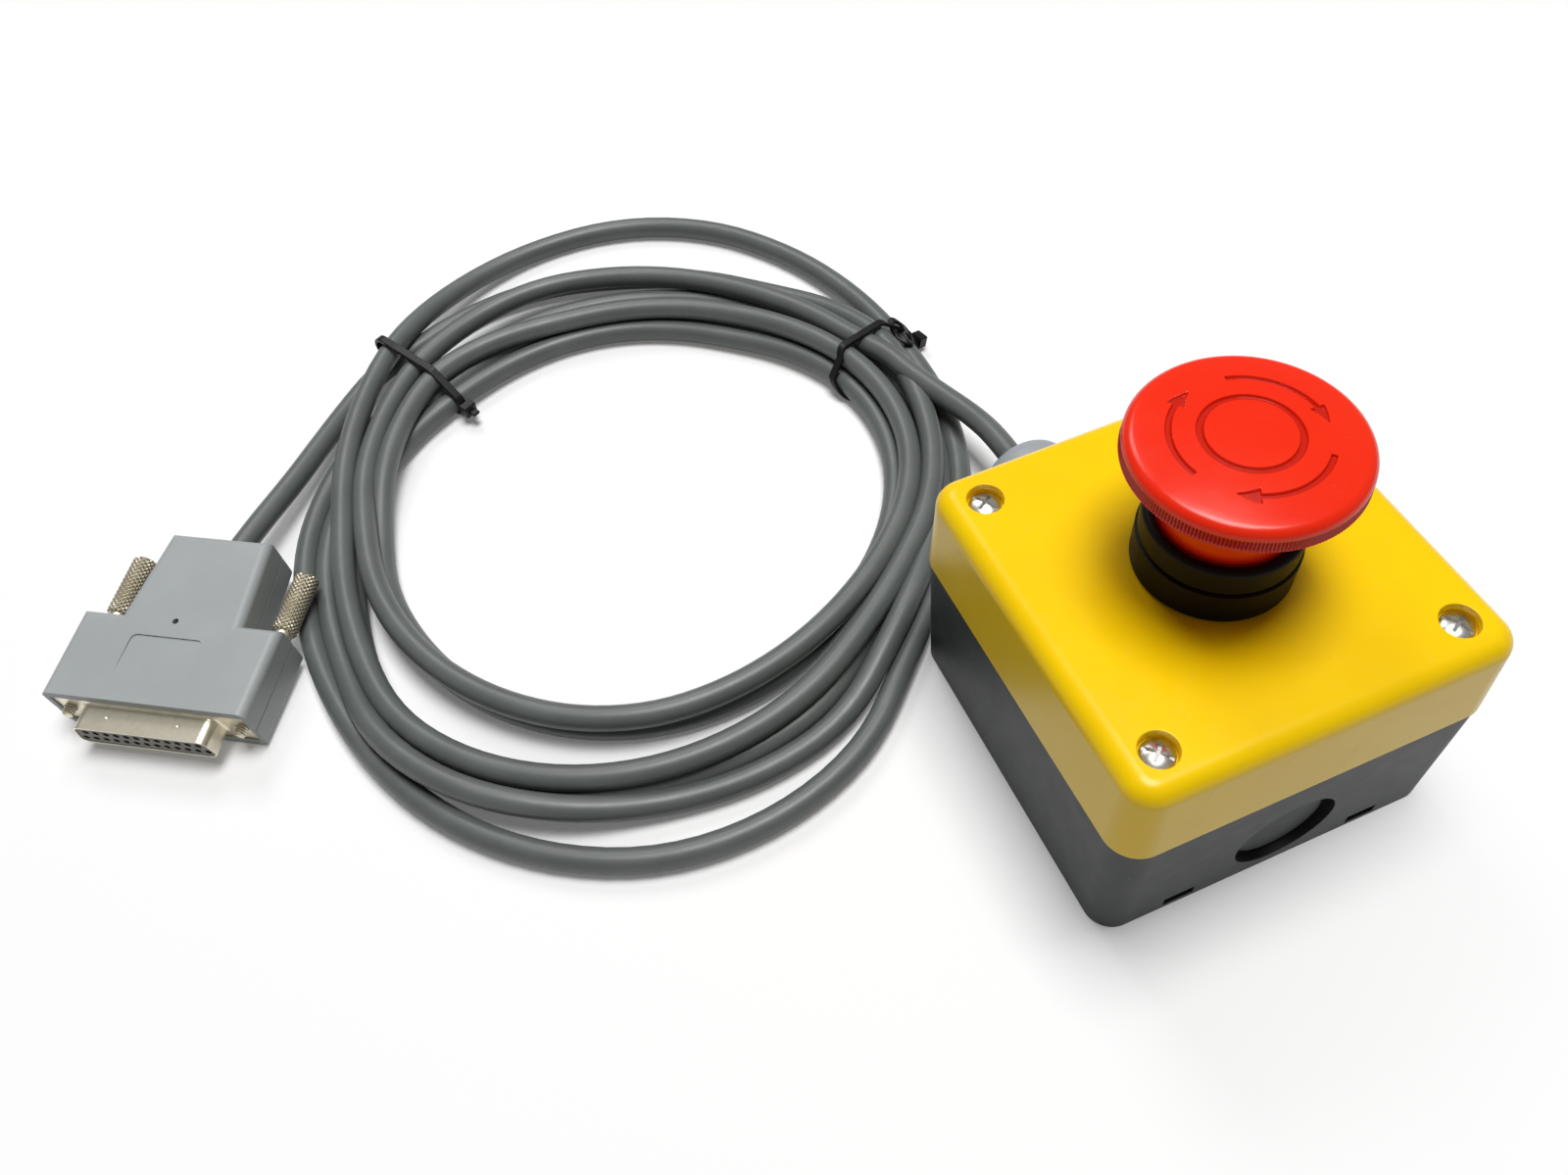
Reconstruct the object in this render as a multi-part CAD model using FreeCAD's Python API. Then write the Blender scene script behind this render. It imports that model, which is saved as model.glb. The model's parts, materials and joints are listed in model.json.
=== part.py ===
import FreeCAD, Part

import math
import os

from FreeCAD import Rotation, Vector

# Emergency stop station: a two-part enclosure with a latching mushroom push button, two break contact
# blocks, a cable gland, a coiled cable and a 25-way D connector in a hood.
# Millimetres. The origin is the middle of the enclosure's underside, +Z is up, the cable leaves on +Y
# and the blind cable entry faces -Y.

# Allowances: overrun of a cutter, running fit, small broken edge, tolerance for edges at one level
over = 1.0
fit = 0.05
edge_break = 0.4
same_level = 0.01

# Enclosure
box_width = 88.0
base_top_width = 87.4
base_foot_width = 85.6
base_height = 37.8
base_wall = 2.6
cover_top = 60.6
cover_top_width = 85.8
cover_wall = 2.8
cover_plate = 3.0
corner_radius = 7.4
corner_centre = box_width / 2 - corner_radius
cover_edge_radius = 4.4
cover_inner_edge = 1.4
base_post_radius = 4.6
cover_post_radius = 5.6
rib_half = 1.0
rib_drop = 3.0
gasket_width = 1.3
gasket_depth = 1.4
underside_rim = 4.5
underside_depth = 0.8
underside_corner = 2.5

# Cover screws
screw_reach = 33.6
screw_head_radius = 3.5
screw_head_edge = 0.9
screw_head_height = 1.9
screw_recess_radius = 4.0
screw_recess_depth = 2.8
screw_recess_edge = 0.35
screw_shank_radius = 2.0
screw_core_radius = 1.6
screw_tip = 24.0
screw_slot_width = 0.8
screw_slot_depth = 0.8
screw_cross_half = 2.2
screw_cross_depth = 1.3
screw_turns = {"front_left": -48, "front_right": -64, "rear_left": -59, "rear_right": -40}

# Fixing holes in the floor of the base
fixing_reach = 27.0
fixing_hole_radius = 2.25
fixing_boss_radius = 4.8
fixing_boss_top = 4.2

# Cable entries
entry_height = 15.2
entry_hole_radius = 10.2
entry_seat_radius = 14.2
entry_pad_radius = 13.8
knockout_radius = 12.0
knockout_sink = 1.6
knockout_groove_width = 2.0
knockout_groove_depth = 2.3
knockout_pad_radius = 13.4
knockout_pad_depth = 1.6
vent_reach = 23.5
vent_length = 7.6
vent_low = 1.4
vent_height = 3.2
vent_depth = 2.0

# Operator: collar and sleeve fixed in the cover
panel_hole_radius = 11.2
collar_radius = 16.4
collar_upper_radius = 16.0
collar_waist_depth = 0.6
collar_waist_half = 0.45
collar_waist_floor = 0.15
collar_groove = 69.0
collar_top = 75.5
collar_bore = 13.9
collar_floor = 63.2
collar_edge_radius = 1.2
sleeve_radius = 11.0
sleeve_bore = 8.6
sleeve_end = 44.0
seal_outside = 14.4
seal_inside = 12.2
seal_depth = 1.3
panel_nut_radius = 15.4
panel_nut_height = 4.2
panel_nut_notches = 6
notch_floor = 13.6
notch_half = 1.5
latch_height = 47.0
latch_wire_radius = 0.6
latch_gap = 3.5

# Plunger and mushroom head
travel = 5.5
plunger_radius = 8.55
plunger_end = 44.0
plunger_shoulder = 62.0
latch_groove_half = 0.9
spigot_radius = 5.0
spigot_end = 90.0
clip_low = 71.0
clip_height = 0.8
clip_groove_depth = 0.6
clip_radius = 6.8
clip_opening = 7.0
socket_low = 72.0
socket_radius = 7.5
socket_top = 90.6
head_radius = 22.9
head_top = 97.4
head_rim_low = 90.8
head_rim_high = 94.4
rim_top_radius = 22.3
rim_shoulder = (21.63, 95.83)
dome_edge = 20.2
dome_drop = 0.9
skirt_radius = 13.5
skirt_bore = 11.3
skirt_end = 69.6
flare_start = 80.5
flare_middle = (15.4, 87.4)
flare_end = 20.6
head_hollow_top = 91.5
mark_depth = 0.5
ring_radius = 9.1
ring_width = 1.4
arrow_radius = 14.6
arrow_width = 1.1
arrow_sweep = 72.0
arrow_barb = 1.6
arrow_point = 4.2
arrow_starts = (74, 194, 314)
head_spring_radius = 9.4
head_spring_wire = 1.2
head_spring_turns = 5
spring_chords = 12
spring_sides = 8
spring_gap = 0.05

# Contact blocks
block_reach = 7.5
block_width = 13.0
block_length = 36.0
block_top = 38.0
block_bottom = 12.0
block_edge_radius = 1.0
channel_half = 3.5
channel_floor = 13.5
chamber_half_width = 3.0
chamber_half_length = 13.0
chamber_low = 15.0
strip_height = 26.8
strip_thickness = 0.8
strip_inner = 7.2
pocket_half = 3.6
pocket_inner = 11.5
terminal_reach = 15.0
terminal_radius = 1.4
terminal_low = 18.0
terminal_head_radius = 2.4
terminal_head_height = 2.0
washer_half = 2.6
washer_thickness = 1.0
rod_half = 3.3
rod_low = 21.5
rod_window = (25.6, 30.0)
rod_pin_radius = 1.8
rod_pin_low = 19.6
bridge_half_width = 2.5
bridge_half_length = 11.5
bridge_thickness = 0.7
bridge_pad_radius = 1.6
bridge_pad_reach = 9.5
bridge_pad_height = 0.3
bridge_gap = 0.1
contact_spring_radius = 2.45
contact_spring_wire = 0.5
contact_spring_turns = 4
carrier_length = 32.0
carrier_width = 22.0
carrier_corner = 2.5
carrier_slot_reach = 11.2
carrier_slot_half = 3.8
carrier_collar_radius = 13.6
arm_thickness = 1.85
arm_half = 4.0
arm_low = 27.0

# Cable gland
gland_face = 42.8
gland_end = 73.3
gland_flats = 22.0
gland_flange = 6.5
gland_thread_radius = 9.9
gland_thread_end = 31.5
gland_neck_radius = 8.6
gland_neck_length = 12.0
gland_bore = 4.2
locknut_flats = 24.0
locknut_height = 4.6
dome_nut_flats = 22.4
dome_nut_radius = 11.9
dome_nut_flat_length = 9.5
dome_nut_bore = 8.7
dome_round = 5.9
gland_seal_radius = 5.2
gland_seal_length = 8.8
cable_strip_end = 24.6

# Cable and coil
cable_radius = 3.2
layer = 2 * cable_radius
arc_share = 0.45
coil_hub = Vector(-94.3, 117.2, 0)
# centre, half length, half width and turn of the long axis of the outermost and innermost turns
outer_turn = (Vector(-95.3, 124.1, 0), 116.2, 89.3, 71.0)
inner_turn = (Vector(-94.3, 117.2, 0), 71.5, 63.9, 1.7)
single_layer_rim = 11.0
box_gap = 1.2
tie_width = 2.6
tie_thickness = 1.1
tie_left_angle = 119.0
tie_right_angle = 16.0
tie_head_length = 4.6
tie_head_height = 3.4
tie_head_margin = 1.0
tie_head_inset = 6.0

# 25-way D connector and its hood, lying on the floor in front of the coil and leaning on its outer turn
plug_origin = Vector(-227.4, 98.6, 0)
plug_turn = -32.26
plug_lean = 3.2
hood_half_width = 27.4
hood_thickness = 16.2
hood_middle = hood_thickness / 2
hood_wide_length = 24.7
hood_length = 50.3
neck_half_foot = 16.6
neck_half_end = 14.2
hood_wall = 1.6
hood_front_wall = 3.2
hood_edge_radius = 2.2
seam_half = 0.2
seam_depth = 0.25
label_centre = (-1.0, 12.4)
label_size = (19.6, 13.0)
label_corner = 1.6
label_depth = 0.45
gate_place = (-1.0, 23.6)
gate_radius = 0.8
gate_depth = 3.0
flange_width = 53.04
flange_height = 12.55
flange_recess = 0.4
flange_lip = 0.6
flange_gap = 0.1
sheet = 0.7
shell_width = 38.3
shell_height = 7.9
shell_corner = 2.4
shell_depth = 7.0
shell_root_radius = 0.7
shell_side_angle = 10.0
dimple_reach = 9.6
dimple_inset = 3.4
dimple_radius = 0.8
dimple_depth = 0.2
skin = 0.5
rear_cup_grow = 2.2
rear_cup_depth = 5.2
insulator_web = 1.2
insulator_grow = (5.0, 3.6)
insulator_rear = 6.5
contact_pitch = 2.77
row_gap = 2.84
contact_rows = ((13, -row_gap / 2), (12, row_gap / 2))
contact_radius = 0.8
contact_inset = 1.4
contact_rear = 10.0
jack_reach = 23.52
jack_hole_radius = 1.65
jack_radius = 1.55
jack_tip = -1.8
knob_radius = 3.3
knob_neck_radius = 2.4
knob_neck_length = 2.6
knob_end = 44.9
knob_slot = 1.0
knob_slot_depth = 1.4
clamp_front = 44.6
clamp_back = 48.4
clamp_wall = 1.0
clamp_foot_half = 9.5
clamp_screw_reach = 7.0
clamp_screw_radius = 0.8
clamp_screw_head = 1.6
clamp_screw_head_height = 1.1
cable_mouth_run = 6.3

pieces = {}


# Shared helpers

def rounded_rectangle(width, depth, radius, z):
    """Closed outline of a rectangle with round corners at one height."""
    x, y = width / 2, depth / 2
    corners = [(x - radius, y - radius, 0), (radius - x, y - radius, 90),
               (radius - x, radius - y, 180), (x - radius, radius - y, 270)]
    arcs = []
    for cx, cy, start in corners:
        ends = []
        for degrees in (start, start + 45, start + 90):
            turn = math.radians(degrees)
            ends.append(Vector(cx + radius * math.cos(turn), cy + radius * math.sin(turn), z))
        arcs.append(Part.Arc(*ends))
    edges = []
    for index, arc in enumerate(arcs):
        following = arcs[(index + 1) % 4]
        edges.append(arc.toShape())
        edges.append(Part.LineSegment(arc.EndPoint, following.StartPoint).toShape())
    return Part.Wire(edges)


def prism(wire, height):
    """Solid of a flat outline carried straight up."""
    return Part.Face(wire).extrude(Vector(0, 0, height))


def outline(points):
    """Closed polygon through points."""
    return Part.makePolygon(points + [points[0]])


def square(width, z):
    """Closed square outline whose round corners share their centres with those of the enclosure."""
    return rounded_rectangle(width, width, width / 2 - corner_centre, z)


def tapered(width_low, width_high, low, high):
    """Block with drafted sides and conical corners between two such squares."""
    return Part.makeLoft([square(width_low, low), square(width_high, high)], True, True)


def block(x0, x1, y0, y1, z0, z1):
    """Box between two corners."""
    return Part.makeBox(x1 - x0, y1 - y0, z1 - z0, Vector(x0, y0, z0))


def rod(radius, low, high, x=0.0, y=0.0):
    """Upright cylinder."""
    return Part.makeCylinder(radius, high - low, Vector(x, y, low))


def tube_ring(outside, inside, low, high):
    """Upright plain ring."""
    return rod(outside, low, high).cut(rod(inside, low - over, high + over))


def turned(start, *steps):
    """Solid of revolution about Z, whose steps are the next (radius, height) or (through, end) of an arc."""
    def point(pair):
        return Vector(pair[0], 0, pair[1])

    edges = []
    here = start
    for step in steps + (start,):
        if isinstance(step[0], tuple):
            edges.append(Part.Arc(point(here), point(step[0]), point(step[1])).toShape())
            here = step[1]
        else:
            edges.append(Part.LineSegment(point(here), point(step)).toShape())
            here = step
    return Part.Face(Part.Wire(edges)).revolve(Vector(), Vector(0, 0, 1), 360)


def about_z(shape, degrees):
    """Turns a piece about the vertical through the origin."""
    return shape.rotated(Vector(), Vector(0, 0, 1), degrees)


def facing_y(shape):
    """Turns a piece made upright so that its axis points along +Y."""
    return shape.rotated(Vector(), Vector(1, 0, 0), -90)


def hexagon(across_flats, low, high):
    """Upright hexagonal prism with two flats square to Y."""
    reach = across_flats / math.sqrt(3)
    corners = [Vector(reach * math.cos(turn), reach * math.sin(turn), low)
               for turn in (math.radians(60 * k) for k in range(6))]
    return prism(outline(corners), high - low)


def sphere_cap(edge_radius, rise, top):
    """Arc step from the rim of a spherical cap to its top on the axis."""
    sphere = (edge_radius * edge_radius + rise * rise) / (2 * rise)
    middle = edge_radius / 2
    middle_drop = sphere - math.sqrt(sphere * sphere - middle * middle)
    return (middle, top - middle_drop), (0, top)


def spring(radius, wire, low, high, turns):
    """Compression spring with open ends: chords round a helix, with a many-sided wire."""
    count = turns * spring_chords
    foot = low + wire / 2 + spring_gap
    rise = high - low - wire - 2 * spring_gap
    points = []
    for step in range(count + 1):
        turn = 2 * math.pi * step / spring_chords
        points.append(Vector(radius * math.cos(turn), radius * math.sin(turn), foot + rise * step / count))
    along = (points[1] - points[0]).normalize()
    upward = along.cross(Vector(1, 0, 0)).normalize()
    outward = upward.cross(along)
    section = []
    for side in range(spring_sides):
        turn = 2 * math.pi * side / spring_sides
        aside = outward * math.cos(turn) + upward * math.sin(turn)
        section.append(points[0] + aside * (wire / 2))
    mitred = 1
    return Part.makePolygon(points).makePipeShell([outline(section)], True, False, mitred)


def route_edges(points):
    """Straight runs joined by tangent arcs as large as the shorter run allows, and the arcs' radii."""
    edges = []
    radii = []
    here = points[0]
    for before, corner, after in zip(points, points[1:], points[2:]):
        arriving = (corner - before).normalize()
        leaving = (after - corner).normalize()
        half_turn = arriving.getAngle(leaving) / 2
        reach = arc_share * min((corner - before).Length, (after - corner).Length)
        radius = reach / math.tan(half_turn)
        inward = (leaving - arriving).normalize()
        arc_start = corner - arriving * reach
        arc_end = corner + leaving * reach
        middle = corner + inward * (radius / math.cos(half_turn) - radius)
        edges.append(Part.LineSegment(here, arc_start).toShape())
        edges.append(Part.Arc(arc_start, middle, arc_end).toShape())
        radii.append(radius)
        here = arc_end
    edges.append(Part.LineSegment(here, points[-1]).toShape())
    return edges, radii


def flexible(points, radius):
    """Round tube along a route of hand-chosen points, with its arcs' radii and a check of its volume."""
    edges, radii = route_edges(points)
    path = Part.Wire(edges)
    section = Part.Wire(Part.makeCircle(radius, points[0], points[1] - points[0]))
    solid = path.makePipeShell([section], True, True)
    share = solid.Volume / (math.pi * radius * radius * path.Length)
    print("route length %.1f, smallest radius %.1f, volume share %.4f" % (path.Length, min(radii), share))
    print("  radii", " ".join("%.0f" % value for value in radii))
    return solid


def four_corners(reach):
    """The four places at the same distance from both middle planes."""
    return [(x, y) for x in (-reach, reach) for y in (-reach, reach)]


# Enclosure

def corner_ribs(x, y, wall_line, low, high):
    """Two thin ribs from a corner post to the walls beside it."""
    x_ends = sorted((x, math.copysign(wall_line, x)))
    y_ends = sorted((y, math.copysign(wall_line, y)))
    return [block(*x_ends, y - rib_half, y + rib_half, low, high),
            block(x - rib_half, x + rib_half, *y_ends, low, high)]


def underside_recess():
    """Shallow recess in the underside that leaves a rim and the four fixing bosses standing."""
    width = base_foot_width - 2 * underside_rim
    recess = prism(rounded_rectangle(width, width, underside_corner, -over), over + underside_depth)
    return recess.cut([rod(fixing_boss_radius, -over, fixing_boss_top, x, y)
                       for x, y in four_corners(fixing_reach)])


def base_housing():
    """Drafted tray with screw posts, fixing holes, a blind entry in front and the gland's hole behind."""
    inner_foot = base_foot_width - 2 * base_wall
    inner_top = base_top_width - 2 * base_wall
    shell = tapered(base_foot_width, base_top_width, 0, base_height)
    shell = shell.cut(tapered(inner_foot, inner_top, base_wall, base_height))
    for x, y in four_corners(screw_reach):
        post = rod(base_post_radius, base_wall, base_height, x, y)
        ribs = corner_ribs(x, y, (inner_top + rib_half) / 2, base_wall, base_height - rib_drop)
        shell = shell.fuse([post] + ribs)
        shell = shell.cut(rod(screw_core_radius + fit, screw_tip - over, base_height + over, x, y))
    for x, y in four_corners(fixing_reach):
        shell = shell.fuse(rod(fixing_boss_radius, 0, fixing_boss_top, x, y))
    shell = shell.cut(underside_recess())
    shell = shell.cut([rod(fixing_hole_radius, -over, fixing_boss_top + over, x, y)
                       for x, y in four_corners(fixing_reach)])
    pad = rod(entry_pad_radius, gland_face - base_wall, gland_face - base_wall / 2)
    entry = rod(entry_hole_radius, gland_face - 2 * base_wall, box_width / 2)
    seat = rod(entry_seat_radius, gland_face, box_width / 2)
    shell = shell.fuse(on_entry(pad)).cut([on_entry(entry), on_entry(seat)])
    face = base_foot_width / 2
    backing = rod(knockout_pad_radius, base_wall / 2 - face, base_wall + knockout_pad_depth - face)
    groove = tube_ring(knockout_radius, knockout_radius - knockout_groove_width,
                       -face - over, knockout_groove_depth - face)
    sink = rod(knockout_radius, -face - over, knockout_sink - face)
    shell = shell.fuse(on_entry(backing)).cut([on_entry(groove), on_entry(sink)])
    vent = block(-vent_length / 2, vent_length / 2, face - vent_depth, box_width / 2,
                 vent_low, vent_low + vent_height)
    for x in (-vent_reach, vent_reach):
        for turn in (0, 180):
            shell = shell.cut(about_z(vent.translated(Vector(x, 0, 0)), turn))
    return shell.cut(gasket_ring())


def gasket_ring():
    """Square-section ring that follows the middle of the base's rim."""
    middle = base_top_width - base_wall
    low = base_height - gasket_depth
    outside = prism(square(middle + gasket_width, low), gasket_depth)
    inside = prism(square(middle - gasket_width, low), gasket_depth)
    return outside.cut(inside)


def top_edges(solid, height):
    """Edges that lie wholly at one height."""
    return [edge for edge in solid.Edges
            if edge.BoundBox.ZMin > height - same_level and edge.BoundBox.ZMax < height + same_level]


def cover():
    """Deep drafted lid with a rounded edge, sunk screw seats with soft rims and the button's hole."""
    lid = tapered(box_width, cover_top_width, base_height, cover_top)
    lid = lid.makeFillet(cover_edge_radius, top_edges(lid, cover_top))
    inside = box_width - 2 * cover_wall
    ceiling = cover_top - cover_plate
    hollow = tapered(inside, cover_top_width - 2 * cover_wall, base_height, ceiling)
    lid = lid.cut(hollow.makeFillet(cover_inner_edge, top_edges(hollow, ceiling)))
    for x, y in four_corners(screw_reach):
        post = rod(cover_post_radius, base_height, ceiling + cover_plate / 2, x, y)
        ribs = corner_ribs(x, y, inside / 2 + 2 * fit, base_height + rib_drop, ceiling + rib_half / 2)
        lid = lid.fuse([post] + ribs)
        lid = lid.cut(rod(screw_recess_radius, cover_top - screw_recess_depth, cover_top + over, x, y))
    rims = [edge for edge in top_edges(lid, cover_top) if edge.BoundBox.XLength < 3 * screw_recess_radius]
    lid = lid.makeFillet(screw_recess_edge, [edge for edge in rims if edge.Closed])
    for x, y in four_corners(screw_reach):
        lid = lid.cut(rod(screw_shank_radius + 2 * fit, base_height - over, cover_top, x, y))
    return lid.cut(rod(panel_hole_radius, base_height, cover_top + over))


def cover_screw(x, y, turn):
    """Domed screw with a combined cross and slot, its shank and the core of its thread."""
    seat = cover_top - screw_recess_depth
    top = seat + screw_head_height
    cap = sphere_cap(screw_head_radius, screw_head_height - screw_head_edge, top)
    screw = turned((0, screw_tip), (screw_core_radius, screw_tip + screw_core_radius),
                   (screw_core_radius, base_height), (screw_shank_radius, base_height),
                   (screw_shank_radius, seat), (screw_head_radius, seat),
                   (screw_head_radius, seat + screw_head_edge), cap)
    half = screw_slot_width / 2
    cross_low = top - screw_cross_depth
    cutters = [block(-screw_cross_half, screw_cross_half, -half, half, cross_low, top + over),
               block(-half, half, -screw_cross_half, screw_cross_half, cross_low, top + over),
               block(-box_width, box_width, -half, half, top - screw_slot_depth, top + over)]
    return about_z(screw.cut(cutters), turn).translated(Vector(x, y, 0))


# Push button

def operator_body():
    """Collar with a waist groove and the threaded sleeve that passes through the cover."""
    waist = collar_upper_radius - collar_waist_depth
    soft = collar_edge_radius * (1 - math.sqrt(0.5))
    body = turned((sleeve_bore, sleeve_end), (sleeve_radius, sleeve_end), (sleeve_radius, cover_top),
                  (collar_radius - edge_break, cover_top), (collar_radius, cover_top + edge_break),
                  (collar_radius, collar_groove - collar_waist_half),
                  (waist, collar_groove - collar_waist_floor), (waist, collar_groove + collar_waist_floor),
                  (collar_upper_radius, collar_groove + collar_waist_half),
                  (collar_upper_radius, collar_top - collar_edge_radius),
                  ((collar_upper_radius - soft, collar_top - soft),
                   (collar_upper_radius - collar_edge_radius, collar_top)),
                  (collar_bore + edge_break, collar_top), (collar_bore, collar_top - edge_break),
                  (collar_bore, collar_floor), (sleeve_bore, collar_floor))
    body = body.cut(panel_seal())
    hole = facing_y(rod(latch_wire_radius + 3 * fit, 0, collar_bore)).translated(Vector(0, 0, latch_height))
    return body.cut([hole, about_z(hole, 180)])


def panel_seal():
    """Rubber ring let into the underside of the collar."""
    return tube_ring(seal_outside, seal_inside, cover_top, cover_top + seal_depth)


def panel_nut():
    """Round nut under the cover plate with spanner notches."""
    top = cover_top - cover_plate
    nut = tube_ring(panel_nut_radius, sleeve_radius + fit, top - panel_nut_height, top)
    notch = block(notch_floor, panel_nut_radius + over, -notch_half, notch_half, base_height, cover_top)
    return nut.cut([about_z(notch, 360 * k / panel_nut_notches) for k in range(panel_nut_notches)])


def latch_clip():
    """Open spring ring round the sleeve whose two legs reach in to the plunger's latch groove."""
    low, high = latch_height - latch_wire_radius, latch_height + latch_wire_radius
    inside = sleeve_radius + fit
    ring = tube_ring(inside + 2 * latch_wire_radius, inside, low, high)
    ring = ring.cut(block(0, collar_radius, -latch_gap, latch_gap, low - over, high + over))
    leg = facing_y(rod(latch_wire_radius, plunger_radius + 4 * fit, inside + latch_wire_radius))
    leg = leg.translated(Vector(0, 0, latch_height))
    return ring.fuse([leg, about_z(leg, 180)])


def plunger():
    """Stem that slides in the sleeve: latch groove, shoulder and the spigot that carries the head."""
    groove = latch_height + travel
    groove_floor = plunger_radius - latch_groove_half
    clip_floor = spigot_radius - clip_groove_depth
    return turned((0, plunger_end), (plunger_radius - edge_break, plunger_end),
                  (plunger_radius, plunger_end + edge_break), (plunger_radius, groove - latch_groove_half),
                  (groove_floor, groove - latch_groove_half), (groove_floor, groove + latch_groove_half),
                  (plunger_radius, groove + latch_groove_half),
                  (plunger_radius, plunger_shoulder - edge_break),
                  (plunger_radius - edge_break, plunger_shoulder), (spigot_radius, plunger_shoulder),
                  (spigot_radius, clip_low), (clip_floor, clip_low), (clip_floor, clip_low + clip_height),
                  (spigot_radius, clip_low + clip_height), (spigot_radius, spigot_end - edge_break),
                  (spigot_radius - edge_break, spigot_end), (0, spigot_end))


def head_clip():
    """Retaining ring in the spigot's groove, under the head's socket."""
    low, high = clip_low + fit, clip_low + clip_height - fit
    ring = tube_ring(clip_radius, spigot_radius - clip_groove_depth + fit, low, high)
    half = clip_opening / 2
    return ring.cut(block(0, clip_radius + over, -half, half, low - over, high + over))


def twist_arrow(start):
    """Slender curved arrow, pointing clockwise from above, to be let into the top of the head."""
    low, high = head_rim_low, head_top + over
    band = tube_ring(arrow_radius + arrow_width / 2, arrow_radius - arrow_width / 2, low, high)
    far = 2 * head_radius
    sweep = math.radians(-arrow_sweep)
    corners = [Vector(0, 0, low), Vector(far, 0, low),
               Vector(far * math.cos(sweep), far * math.sin(sweep), low)]
    arrow = band.common(prism(outline(corners), high - low))
    barbs = [Vector(arrow_radius - arrow_barb, 0, low), Vector(arrow_radius + arrow_barb, 0, low),
             Vector(arrow_radius - arrow_width / 2, -arrow_point, low)]
    arrow = arrow.fuse(about_z(prism(outline(barbs), high - low), -arrow_sweep))
    return about_z(arrow, start)


def crown(sink):
    """Steps of the head's profile over its rolled edge and shallow spherical dome, lowered by a depth."""
    top = head_top - sink
    shoulder = (rim_shoulder[0], rim_shoulder[1] - sink)
    return [(rim_top_radius, head_rim_high - sink), (shoulder, (dome_edge, top - dome_drop)),
            sphere_cap(dome_edge, dome_drop, top)]


def mushroom_head():
    """Domed cap with a rolled edge, a flared skirt that dips into the collar and a hollow underside."""
    bore = spigot_radius + fit
    cap = turned((bore, socket_low), (socket_radius, socket_low), (socket_radius, head_hollow_top),
                 (skirt_bore, head_hollow_top), (skirt_bore, skirt_end + edge_break),
                 (skirt_bore + edge_break, skirt_end), (skirt_radius - edge_break, skirt_end),
                 (skirt_radius, skirt_end + edge_break), (skirt_radius, flare_start),
                 (flare_middle, (flare_end, head_rim_low)), (head_radius - edge_break, head_rim_low),
                 (head_radius, head_rim_low + edge_break), *crown(0), (0, socket_top), (bore, socket_top))
    ring = tube_ring(ring_radius + ring_width / 2, ring_radius - ring_width / 2,
                     head_rim_low, head_top + over)
    floor = turned((0, flare_start), (head_radius, flare_start), *crown(mark_depth))
    for mark in [ring] + [twist_arrow(start) for start in arrow_starts]:
        cap = cap.cut(mark.cut(floor))
    return cap


# Contacts

def contact_carrier():
    """Clip-on plate under the sleeve with two arms that hold the contact blocks."""
    plate = prism(rounded_rectangle(carrier_length, carrier_width, carrier_corner, block_top),
                  sleeve_end - block_top)
    collar = tube_ring(carrier_collar_radius, sleeve_radius + fit, sleeve_end, latch_height - over)
    carrier = plate.fuse(collar).cut(rod(plunger_radius + edge_break, block_top - over, sleeve_end + over))
    slot = block(-carrier_slot_reach, carrier_slot_reach, -carrier_slot_half, carrier_slot_half,
                 block_top - over, sleeve_end)
    carrier = carrier.cut(slot)
    inner = block_reach + block_width / 2 + 3 * fit
    arm = block(inner, inner + arm_thickness, -arm_half, arm_half, arm_low, sleeve_end - over)
    return carrier.fuse([arm, about_z(arm, 180)])


def contact_block(side):
    """Block housing with a plunger channel, a contact chamber and a terminal pocket at each end."""
    half_length = block_length / 2
    half_width = block_width / 2
    body = block(-half_width, half_width, -half_length, half_length, block_bottom, block_top)
    upright = [edge for edge in body.Edges if edge.BoundBox.ZLength > block_top - block_bottom - over]
    body = body.makeFillet(block_edge_radius, upright)
    channel = block(-channel_half, channel_half, -channel_half, channel_half,
                    channel_floor, block_top + over)
    chamber = block(-chamber_half_width, chamber_half_width, -chamber_half_length, chamber_half_length,
                    chamber_low, strip_height)
    strip_top = strip_height + strip_thickness
    slot = block(-chamber_half_width, chamber_half_width, strip_inner, half_length + over,
                 strip_height, strip_top)
    pocket = block(-pocket_half, pocket_half, pocket_inner, half_length + over, strip_top, block_top + over)
    hole = rod(terminal_radius + 3 * fit, terminal_low - over, strip_height + over, 0, terminal_reach)
    rear = [slot, pocket, hole]
    front = [about_z(cutter, 180) for cutter in rear]
    return body.cut([channel, chamber] + rear + front).translated(Vector(side * block_reach, 0, 0))


def at_terminal(shape, side, end):
    """Moves a piece made for the right block's rear terminal to one of the four terminals."""
    return about_z(shape, 0 if end > 0 else 180).translated(Vector(side * block_reach, 0, 0))


def fixed_contact(side, end):
    """Brass strip from the contact chamber to its terminal."""
    half = chamber_half_width - 2 * fit
    strip = block(-half, half, strip_inner, block_length / 2 - edge_break,
                  strip_height, strip_height + strip_thickness)
    hole = rod(terminal_radius + 2 * fit, strip_height - over, strip_height + over, 0, terminal_reach)
    return at_terminal(strip.cut(hole), side, end)


def terminal_screw(side, end):
    """Slotted terminal screw with its square clamping washer."""
    seat = strip_height + strip_thickness
    washer_top = seat + washer_thickness
    top = washer_top + terminal_head_height
    screw = rod(terminal_radius, terminal_low, washer_top)
    screw = screw.fuse([block(-washer_half, washer_half, -washer_half, washer_half, seat, washer_top),
                        rod(terminal_head_radius, washer_top, top)])
    slot = block(-washer_half, washer_half, -edge_break, edge_break,
                 top - terminal_head_height / 2, top + over)
    return at_terminal(screw.cut(slot).translated(Vector(0, terminal_reach, 0)), side, end)


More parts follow.
